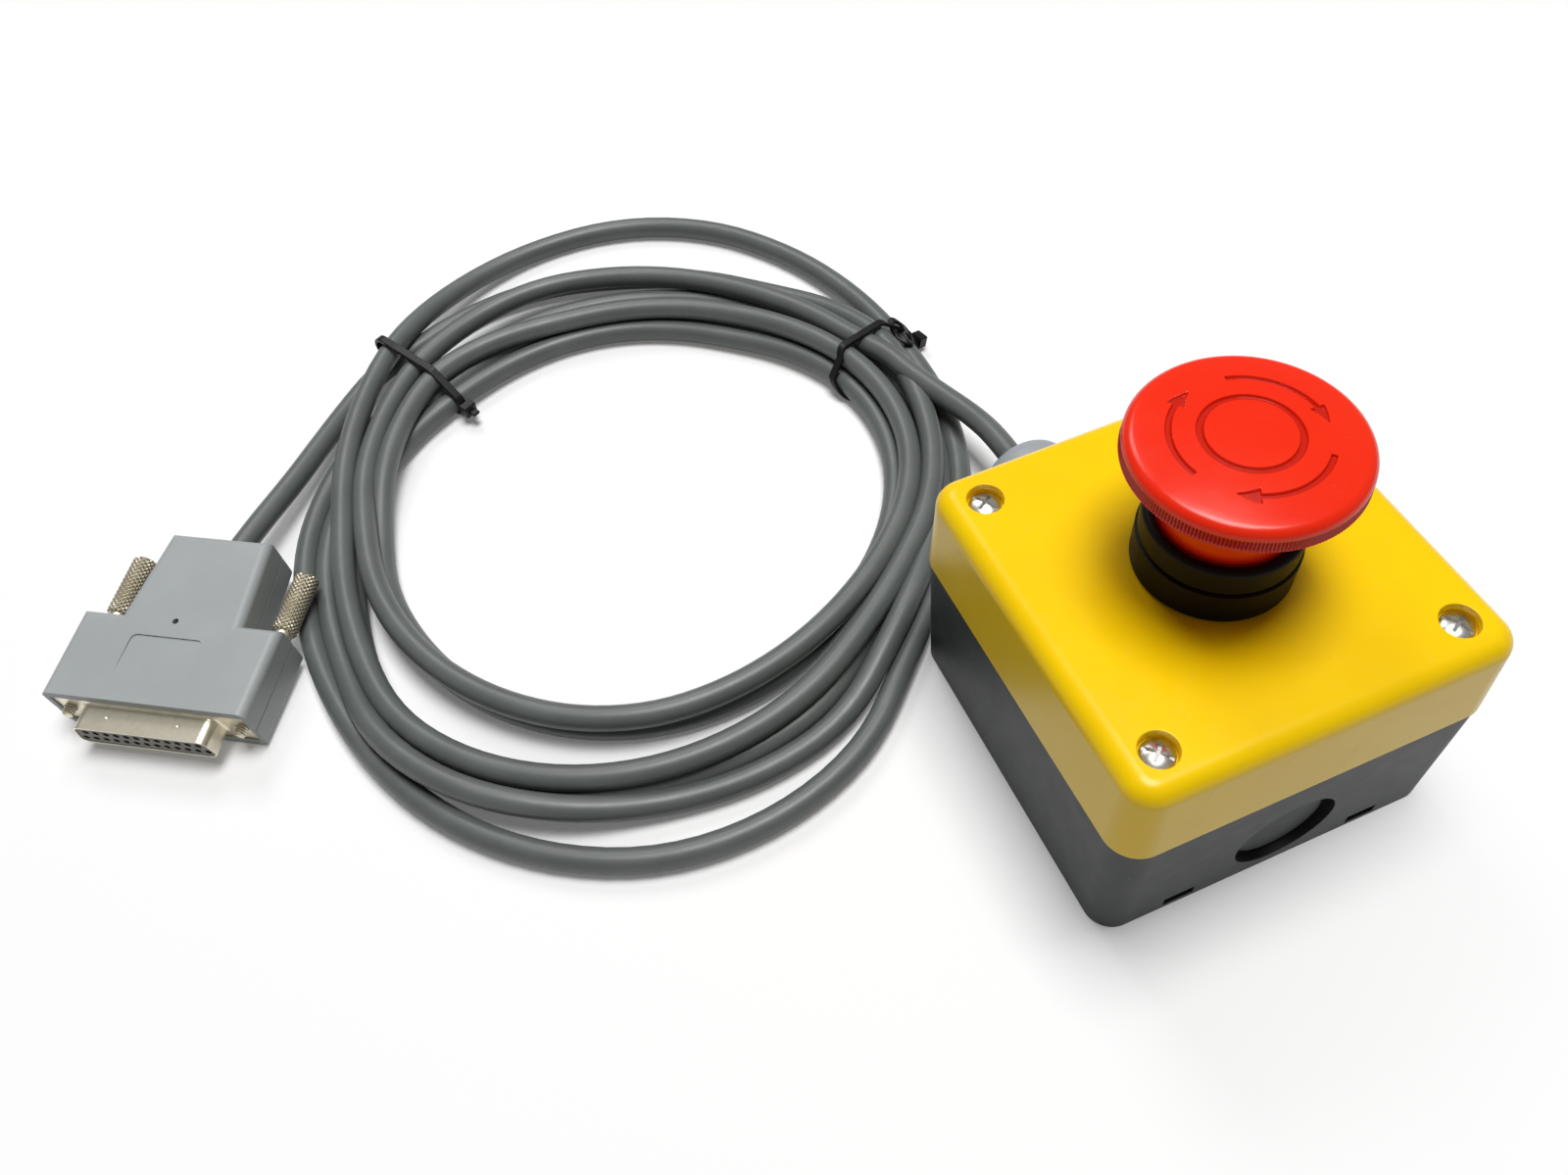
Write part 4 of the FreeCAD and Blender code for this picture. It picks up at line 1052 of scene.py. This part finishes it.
@dataclass(frozen=True)
class Ellipse:
    """Elliptic turn of the coil in plan, in millimetres and degrees."""

    centre: tuple[float, float]
    half_long: float
    half_short: float
    turn: float

    def reach(self, hub: np.ndarray, angle: np.ndarray) -> np.ndarray:
        """Distance from a hub to the ellipse, the positive root of |M(hub + reach · heading)| = 1.

        Args:
            hub: place inside the ellipse.
            angle: directions in radians.

        Returns:
            Distances.
        """
        turn = math.radians(self.turn)
        offset = hub - np.asarray(self.centre)
        local = np.array([offset[0] * math.cos(turn) + offset[1] * math.sin(turn),
                          offset[1] * math.cos(turn) - offset[0] * math.sin(turn)])
        halves = np.array([self.half_long, self.half_short])
        start = local / halves
        step = np.stack([np.cos(angle - turn), np.sin(angle - turn)], -1) / halves
        a = (step ** 2).sum(-1)
        b = step @ start
        return (np.sqrt(b * b - a * (start @ start - 1)) - b) / a


@dataclass(frozen=True)
class Station:
    """Direction from the coil's hub at which the strands' lanes are chosen."""

    angle: float
    lift: float = 0.0


@dataclass
class CableRun(SubAssembly):
    """Cable from the gland, round the tied coil and to the connector.

    A strand's lane is its share of the way from the inner turn to the outer one. Each pass round the coil
    gives the lane and the letter of the level at every station; a station's lift makes room for a strap.
    Sizes are in millimetres, but the length is in metres.
    """

    radius: float = 3.2
    length: float = 3.5
    hub: tuple[float, float] = (-94.3, 117.2)
    inner: Ellipse = Ellipse(hub, half_long=71.5, half_short=63.9, turn=1.7)
    outer: Ellipse = Ellipse((-95.3, 124.1), half_long=116.2, half_short=89.3, turn=71.0)
    points_per_turn: int = 24
    smoothness: int = 5
    spline_order: int = 3
    stations: tuple[Station, ...] = (
        Station(16, lift=1.0), Station(42), Station(68), Station(94), Station(119, lift=1.0), Station(145),
        Station(170), Station(190), Station(212), Station(232), Station(256), Station(285), Station(305),
        Station(345))
    lanes: tuple[tuple[float, ...], ...] = (
        (0.47, 0.36, 0.40, 0.53, 0.56, 0.42, 0.12, 0.08, 0.12, 0.17, 0.21, 0.20, 0.20, 0.40),
        (0.20, 0.12, 0.14, 0.19, 0.36, 0.20, 0.00, 0.00, 0.08, 0.15, 0.20, 0.22, 0.12, 0.12),
        (0.06, 0.01, 0.08, 0.13, 0.15, 0.30, 0.36, 0.48, 0.70, 0.66, 0.56, 0.60, 0.44, 0.52),
        (0.33, 0.21, 0.20, 0.25, 0.295, 0.54, 0.74, 0.72, 0.84, 0.76, 0.68, 0.80, 0.72, 0.92),
        (0.60, 0.34, 0.32, 0.37, 0.44, 0.80, 1.02, 0.97, 0.94, 0.94, 1.00, 1.06, 0.88, 1.28),
        (1.00, 0.96, 0.98, 0.98, 0.86, 0.66, 0.42, 0.48, 0.64, 0.58, 0.54, 0.52, 0.46, 0.80),
        (0.74, 0.52, 0.50, 0.66, 0.84),
    )
    levels: tuple[str, ...] = ("uuuuuuuuuuuuuu", "uuuuuuffffffff", "ffffffffffffff", "ffffffffooffuf",
                               "ffffffffffffff", "ffffoouuuuuuuu", "uffff")
    box_route: tuple[tuple[float, float, float], ...] = (
        (0.0, 73.3, 15.2), (0.0, 84.0, 15.2), (-1.2, 96.2, 13.3), (-4.6, 109.0, 11.7), (-8.2, 122.4, 10.5),
        (-10.2, 132.0, 10.2))
    plug_route: tuple[tuple[float, float, float], ...] = (
        (-151.7, 200.8, 3.3), (-162.4, 188.9, 4.4), (-173.6, 173.9, 6.6), (-182.2, 162.5, 8.0),
        (-196.3, 145.6, 10.4), (-202.86, 137.48, 10.68))

    def station_values(self) -> tuple[np.ndarray, np.ndarray, np.ndarray]:
        """Angles, lanes and heights at the stations of all passes in order.

        Returns:
            Three arrays of equal length; the angles are in radians and go on rising.
        """
        lanes = np.concatenate(self.lanes)
        count = len(self.stations)
        turns, places = np.divmod(np.arange(len(lanes)), count)
        angles = np.array([station.angle for station in self.stations])[places] + 360 * turns
        lifts = np.array([station.lift for station in self.stations])[places]
        levels = np.array([LEVEL_LETTERS[letter] for letter in "".join(self.levels)])
        return np.radians(angles), lanes, levels + lifts

    def reach(self, angle: np.ndarray, lane: np.ndarray) -> np.ndarray:
        """Distance from the hub in some directions and lanes: inside + lane · (outside - inside)."""
        inside, outside = (turn.reach(np.array(self.hub), angle) for turn in (self.inner, self.outer))
        return inside + lane * (outside - inside)

    def coil_points(self) -> np.ndarray:
        """Control points of the coil: hub + reach · heading, with lane and height eased between stations.

        The reach is divided by cos(half a step), because the spline runs inside its control points by that.

        Returns:
            Array of places.
        """
        angles, lanes, heights = self.station_values()
        count = round((angles[-1] - angles[0]) / (2 * math.pi) * self.points_per_turn) + 1
        angle = np.linspace(angles[0], angles[-1], count)
        reach = self.reach(angle, ease(angle, angles, lanes)) / math.cos((angle[1] - angle[0]) / 2)
        return np.array([*self.hub, 0]) + around(reach, angle, ease(angle, angles, heights))

    def strands_at(self, station: int) -> np.ndarray:
        """Distance from the hub and height of each strand at a station.

        Args:
            station: number of the station.

        Returns:
            Array of pairs.
        """
        angles, lanes, heights = (values[station::len(self.stations)] for values in self.station_values())
        return np.stack([self.reach(angles, lanes), heights], 1)

    def build(self) -> list[bpy.types.Object]:
        """Adds the cable as one spline.

        Returns:
            The cable alone.
        """
        route = np.vstack([self.box_route, self.coil_points(), self.plug_route]) * MM
        curve = bpy.data.curves.new("cable", "CURVE")
        curve.dimensions = "3D"
        spline = curve.splines.new("NURBS")
        spline.points.add(len(route) - 1)
        spline.points.foreach_set("co", np.column_stack([route, np.ones(len(route))]).ravel())
        spline.order_u = self.spline_order
        spline.use_endpoint_u = True
        curve.bevel_depth = self.radius * MM
        curve.bevel_resolution = self.smoothness
        curve.resolution_u = self.smoothness
        curve.use_fill_caps = True
        cable = show("cable", curve)
        return [self.add(cable, "cable_jacket", "station", "cable_lead_box", "cable_coil", "cable_lead_plug")]

    def declare(self, cable: bpy.types.Object, carried: Sequence[bpy.types.Object | str]) -> None:
        """Does nothing with the cable or the pieces on it.

        Args:
            cable: the cable's piece, not used.
            carried: the pieces on it, not used.
        """


def ease(at: np.ndarray, knots: np.ndarray, values: np.ndarray) -> np.ndarray:
    """Monotone cubic through the knots: v0 h00 + w m0 h10 + v1 h01 + w m1 h11 on a span of width w.

    A knot's slope m is the harmonic mean of the straight slopes beside it, or zero where they differ in sign.

    Args:
        at: where to read it.
        knots: rising places of the knots.
        values: values at the knots.

    Returns:
        The eased values.
    """
    widths = np.diff(knots)
    straight = np.diff(values) / widths
    both = straight[:-1] * straight[1:]
    mean = np.divide(2 * both, straight[:-1] + straight[1:], out=np.zeros_like(both), where=both > 0)
    slopes = np.concatenate([straight[:1], mean, straight[-1:]])
    left = np.clip(np.searchsorted(knots, at, side="right") - 1, 0, len(knots) - 2)
    width = widths[left]
    share = (at - knots[left]) / width
    rest = 1 - share
    return (values[left] * (1 + 2 * share) * rest ** 2 + width * slopes[left] * share * rest ** 2
            + values[left + 1] * (3 - 2 * share) * share ** 2 - width * slopes[left + 1] * rest * share ** 2)


def direction(degrees: float) -> np.ndarray:
    """Unit vector of a plane at an angle from its first axis."""
    turn = math.radians(degrees)
    return np.array([math.cos(turn), math.sin(turn)])


def block(half: Sequence[float], edge: float) -> np.ndarray:
    """Box about the origin with cut edges: an eight-cornered section along its first axis.

    Args:
        half: half sizes along the three axes.
        edge: width of the cut edges.

    Returns:
        Grid of points.
    """
    long, wide, high = half
    quarter = np.array([(wide, high - edge), (wide - edge, high)])
    top = np.vstack([quarter, quarter[::-1] * (-1, 1)])
    corners = np.vstack([top, -top])
    ends = np.array([(-long, 0), (-long, 1 - edge / min(wide, high)), (edge - long, 1)])
    along, scale = np.vstack([ends, ends[::-1] * (-1, 1)]).T
    section = corners[None] * scale[:, None, None]
    return np.concatenate([np.broadcast_to(along[:, None, None], (len(along), len(corners), 1)), section], -1)


@dataclass(frozen=True)
class TiePlace:
    """Where a tie sits: its side, station, head's direction in degrees, lean and offset along the strands."""

    hand: str
    station: int
    head_turn: float
    slack: float = 0.0
    shift: float = 0.0


@dataclass
class CableTies(SubAssembly):
    """Two narrow straps drawn round the bundle of strands, each with a square head and a cut tail.

    Sizes are in millimetres. A tie's head sits in one direction from the strands, counted in degrees from
    straight outward over the top. A slack tie leans: its top is pulled along the strands by its slack, and
    its tail curls into an eye.
    """

    cable: CableRun = field(kw_only=True)
    places: tuple[TiePlace, ...] = (
        TiePlace("left", station=4, head_turn=180.0, shift=3.5),
        TiePlace("right", station=0, head_turn=-12.0, slack=4.0, shift=-4.5))
    strap_half_width: float = 1.25
    strap_thickness: float = 1.1
    edge: float = 0.25
    head_half: tuple[float, float, float] = (1.5, 1.9, 2.1)
    tail_half: tuple[float, float, float] = (2.2, 0.5, 1.2)
    eye_turn: float = 100.0
    eye_radius: float = 1.2
    samples: int = 240

    def build(self) -> list[bpy.types.Object]:
        """Adds both ties.

        Returns:
            Straps, heads and tails.
        """
        made = []
        for place in self.places:
            strands = self.cable.strands_at(place.station)
            strap = self.band(place, strands, self.cable.radius)
            piece = surface("tie_strap_" + place.hand, strap, wrap_rows=True)
            made.append(self.add(piece, "nylon_tie", "station", "cable_tie_" + place.hand))
            reach = self.strap_thickness + self.head_half[0]
            head = self.on_strap(place, block(self.head_half, self.edge), reach)
            piece = surface("tie_head_" + place.hand, head)
            made.append(self.add(piece, "nylon_tie", "station"))
            tail = self.tail_points(place, strands)
            piece = surface("tie_tail_" + place.hand, tail, wrap_rows=place.slack > 0)
            made.append(self.add(piece, "nylon_tie", "station"))
        return made

    def tail_points(self, place: TiePlace, strands: np.ndarray) -> np.ndarray:
        """A slack tie's tail is an eye on the outermost strand, and a tight one's a stub behind its head.

        Args:
            place: the tie's place.
            strands: distance from the hub and height of each strand.

        Returns:
            Grid of points.
        """
        if place.slack:
            away = self.cable.radius + self.strap_thickness + self.eye_radius
            eye = strands[np.argmax(strands[:, 0])] + away * direction(self.eye_turn)
            return self.band(place, eye[None], self.eye_radius)
        reach = self.strap_thickness + 2 * self.head_half[0] + self.edge
        return self.on_strap(place, block(self.tail_half, self.edge), reach)

    def axes(self, station: int) -> tuple[np.ndarray, np.ndarray]:
        """Directions outward from the hub and along the strands at a station."""
        x, y = direction(self.cable.stations[station].angle)
        return np.array([x, y, 0]), np.array([-y, x, 0])

    def on_strap(self, place: TiePlace, points: np.ndarray, out: float) -> np.ndarray:
        """Sets a small piece on the strap.

        Args:
            place: the tie's place.
            points: the piece, with its first axis away from the strands and its last along them.
            out: how far the piece's middle is from the strands.

        Returns:
            The piece in its place.
        """
        heading, aside = self.axes(place.station)
        outward = direction(place.head_turn)
        strands = self.cable.strands_at(place.station)
        reach, height = strands[np.argmax(strands @ outward)] + (self.cable.radius + out) * outward
        away = outward[0] * heading + np.array([0, 0, outward[1]])
        along = place.shift + place.slack * outward[1]
        centre = np.array([*self.cable.hub, height]) + reach * heading + along * aside
        return centre + points @ np.array([away, np.cross(aside, away), aside])

    def band(self, place: TiePlace, strands: np.ndarray, radius: float) -> np.ndarray:
        """A strap: a flat section carried round the hull of some strands.

        In direction n the hull's point is c + R n, where c is the strand whose c·n is largest, moved along
        the strands by shift + slack · sin(turn).

        Args:
            place: the tie's place.
            strands: distance from the hub and height of each strand.
            radius: the strands' radius.

        Returns:
            Grid of points.
        """
        turn = np.linspace(0, 2 * np.pi, self.samples, endpoint=False)
        outward = np.stack([np.cos(turn), np.sin(turn)], 1)
        nearest = strands[np.argmax(outward @ strands.T, 1)]
        half, thick, edge = self.strap_half_width, self.strap_thickness, self.edge
        section = np.array([(-half, edge), (edge - half, 0), (half - edge, 0), (half, edge),
                            (half, thick - edge), (half - edge, thick), (edge - half, thick),
                            (-half, thick - edge)])
        plan = nearest[:, None] + (radius + section[None, :, 1:]) * outward[:, None]
        heading, aside = self.axes(place.station)
        hub = np.array([*self.cable.hub, 0])
        upright = np.array([0, 0, 1.0])
        along = section[None, :, :1] + place.shift + place.slack * outward[:, None, 1:]
        return hub + plan[..., :1] * heading + plan[..., 1:] * upright + along * aside


@dataclass
class DConnector(SubAssembly):
    """D connector in its hood, with diamond-knurled thumbscrews.

    Lengths of a thumbscrew are measured along its axis from the place of its joint, in millimetres.
    """

    nodes: tuple[str, ...] = ("hood_upper", "hood_lower", "socket_shell", "socket_rear_shell",
                              "socket_insulator", "socket_contacts", "cable_clamp",
                              *("clamp_screw_" + hand for hand in HANDS))
    tip: float = -31.8
    thread_end: float = -24.0
    neck: float = -5.0
    knob: float = -2.4
    end: float = 14.9
    shaft_radius: float = 1.55
    thread_pitch: float = 0.64
    thread_depth: float = 0.3
    neck_radius: float = 2.4
    knob_radius: float = 3.3
    knurl_count: int = 16
    knurl_pitch: float = 1.25
    knurl_depth: float = 0.38
    samples: int = 8
    edge: float = 0.4
    face_points: int = 12
    slot_half: float = 0.5
    slot_depth: float = 1.4
    slot_wall: float = 0.3

    def build(self) -> list[bpy.types.Object]:
        """Adds both thumbscrews.

        Returns:
            The two thumbscrews.
        """
        joints = {joint["name"]: joint for joint in frame["joints"]}
        made = []
        for hand in HANDS:
            joint = joints["thumbscrew_turn_" + hand]
            node = "thumbscrew_" + hand
            points, groove = self.screw_points(joint["pos_m"], joint["axis"])
            piece = surface("knurled_" + node, points, groove=groove)
            made.append(self.add(piece, "nickel", node, node))
        return made

    def screw_points(self, place: Sequence[float], axis: Sequence[float]) -> tuple[np.ndarray, np.ndarray]:
        """One thumbscrew: radius as a function of the length along it and the angle round it.

        The thread takes off a triangle wave of length/pitch - angle. The knurl takes off one minus the
        smaller of two such waves that wind opposite ways, which leaves pyramids.

        Args:
            place: the joint's place in metres.
            axis: its direction.

        Returns:
            Grid of points, and the share of the cuts' depth at each, which the finish paints as shade.
        """
        turn = np.linspace(0, 2 * np.pi, self.knurl_count * self.samples, endpoint=False)[None, :]
        rounds = turn / (2 * np.pi)
        thread = np.arange(self.tip, self.thread_end, self.thread_pitch / self.samples)[:, None]
        wave = triangle_wave(thread / self.thread_pitch - rounds)
        taper = soft_step(thread - self.tip, 2 * self.edge) + 0 * rounds
        thread_radius = self.shaft_radius - self.thread_depth * wave - self.edge * (1 - taper)
        knurl_rows = round((self.end - self.knob) / self.knurl_pitch * self.samples)
        knurl = np.linspace(self.knob, self.end, knurl_rows)[:, None]
        cross = [triangle_wave(knurl / self.knurl_pitch + sign * rounds * self.knurl_count)
                 for sign in (-1, 1)]
        inset = np.clip(self.edge - np.minimum(knurl - self.knob, self.end - knurl), 0, self.edge)
        cut = 1 - np.minimum(*cross)
        knob_radius = self.knob_radius - self.knurl_depth * cut - inset
        plain = [(self.thread_end, self.shaft_radius), (self.neck, self.shaft_radius),
                 (self.neck, self.neck_radius), (self.knob, self.neck_radius)]
        middle = np.array(plain)[:, :, None] + 0 * rounds
        face_radius = np.linspace(self.knob_radius - self.edge, 0, self.face_points)[1:, None] + 0 * rounds
        slot = soft_step(self.slot_half - np.abs(face_radius * np.sin(turn)), self.slot_wall)
        radius = np.vstack([0 * rounds, thread_radius, middle[:, 1], knob_radius, face_radius])
        length = np.vstack([self.tip + 0 * rounds, thread + 0 * rounds, middle[:, 0], knurl + 0 * rounds,
                            self.end - self.slot_depth * slot])
        # Painted shade follows the depth of the thread, the knurl and the slot.
        groove = np.vstack([0 * rounds, wave, 0 * middle[:, 1], cut, slot])
        along = np.array(Vector(axis).normalized())
        across = np.array(Vector(axis).cross((0, 0, 1)).normalized())
        upward = np.cross(across, along)
        spin = across * np.cos(turn)[..., None] + upward * np.sin(turn)[..., None]
        return np.array(place) / MM + along * length[..., None] + spin * radius[..., None], groove


# Studio

@dataclass(frozen=True)
class Softbox:
    """Square soft lamp: its place and side in metres and its power in watts."""

    name: str
    place: tuple[float, float, float]
    side: float
    power: float

    def build(self, target: Vector) -> None:
        """Hangs the lamp and points it at the target.

        Args:
            target: the place that it lights.
        """
        data = bpy.data.lights.new(self.name, "AREA")
        data.shape = "SQUARE"
        data.size = self.side
        data.energy = self.power
        lamp = show(self.name, data)
        lamp.location = self.place
        lamp.rotation_mode = "QUATERNION"
        lamp.rotation_quaternion = (target - Vector(self.place)).to_track_quat("-Z", "Y")


@dataclass
class Studio:
    """Paper floor, soft light and the camera of the photograph, in metres."""

    floor_half: float = 3.0
    floor_drop: float = 0.0002
    target: Vector = field(default_factory=lambda: Vector((-0.07, 0.07, 0.03)))
    sky: float = 0.09
    mirrored_sky: float = 0.22
    paper: FloorPaper = FloorPaper(paint(250, 250, 250), paint(210, 210, 208), lift=0.12, far_lift=1.0)
    lamps: tuple[Softbox, ...] = (
        Softbox("overhead", (0.15, 0.12, 2.0), side=0.9, power=35.5),
        Softbox("rear", (-0.05, 1.3, 1.4), side=0.6, power=7.0),
    )
    camera_place: tuple[float, float, float] = (-0.128209, -0.118005, 0.270103)
    camera_heading: tuple[float, float, float] = (0.17792, 0.56911, -0.80279)
    camera_roll: float = -0.116
    camera_nearest: float = 0.01
    lens: float = 29.086

    def build(self) -> None:
        """Sets up the whole studio."""
        self.build_camera()
        self.build_floor()
        self.build_sky()
        for lamp in self.lamps:
            lamp.build(self.target)
        bpy.context.scene.view_settings.view_transform = "Standard"

    def build_camera(self) -> None:
        """Places the camera where the photograph was taken from."""
        data = bpy.data.cameras.new("camera")
        data.lens = self.lens
        data.clip_start = self.camera_nearest
        camera = show("camera", data)
        camera.location = self.camera_place
        camera.rotation_mode = "QUATERNION"
        level = Vector(self.camera_heading).to_track_quat("-Z", "Y")
        camera.rotation_quaternion = level @ Quaternion((0, 0, 1), self.camera_roll)
        bpy.context.scene.camera = camera

    def build_floor(self) -> None:
        """Lays the paper just below the part."""
        half, low = self.floor_half, -self.floor_drop
        mesh = bpy.data.meshes.new("floor")
        mesh.from_pydata([(-half, -half, low), (half, -half, low), (half, half, low), (-half, half, low)], [],
                         [(0, 1, 2, 3)])
        mesh.materials.append(self.paper.material("floor_paper"))
        show("floor", mesh)

    def build_sky(self) -> None:
        """Even light from all round, behind which the camera sees white and mirrors see pale grey."""
        world = bpy.data.worlds.new("studio")
        world.use_nodes = True
        graph = Graph(world.node_tree)
        light, white = (graph.node("ShaderNodeBackground", inputs={"Color": WHITE, "Strength": strength})
                        for strength in (self.sky, 1.0))
        camera, glossy, clear = ray_kinds(graph)
        share = (camera + glossy * self.mirrored_sky + clear).at_most(1.0)
        mixed = graph.node("ShaderNodeMixShader", inputs={0: share, 1: light, 2: white})
        graph.end(mixed, "ShaderNodeOutputWorld")
        bpy.context.scene.world = world


def main() -> None:
    """Builds the studio and the sub-assemblies in order."""
    logging.basicConfig(level=logging.INFO, format="%(message)s")
    materials = {slot: finish.material(slot) for slot, finish in FINISHES.items()}
    Studio().build()
    cable_run = CableRun(materials)
    (cable,) = cable_run.build()
    ties = CableTies(materials, cable=cable_run).build()
    connector = DConnector(materials)
    thumbscrews = connector.build()
    connector.dress()
    gland = Gland(materials)
    gland.dress()
    cable_run.declare(cable, [*gland.nodes[:-1], *ties, *connector.nodes, *thumbscrews])
    for group in (MushroomButton(materials), Enclosure(materials), Contacts(materials)):
        group.build()
        group.dress()


if __name__ == "__main__":
    main()
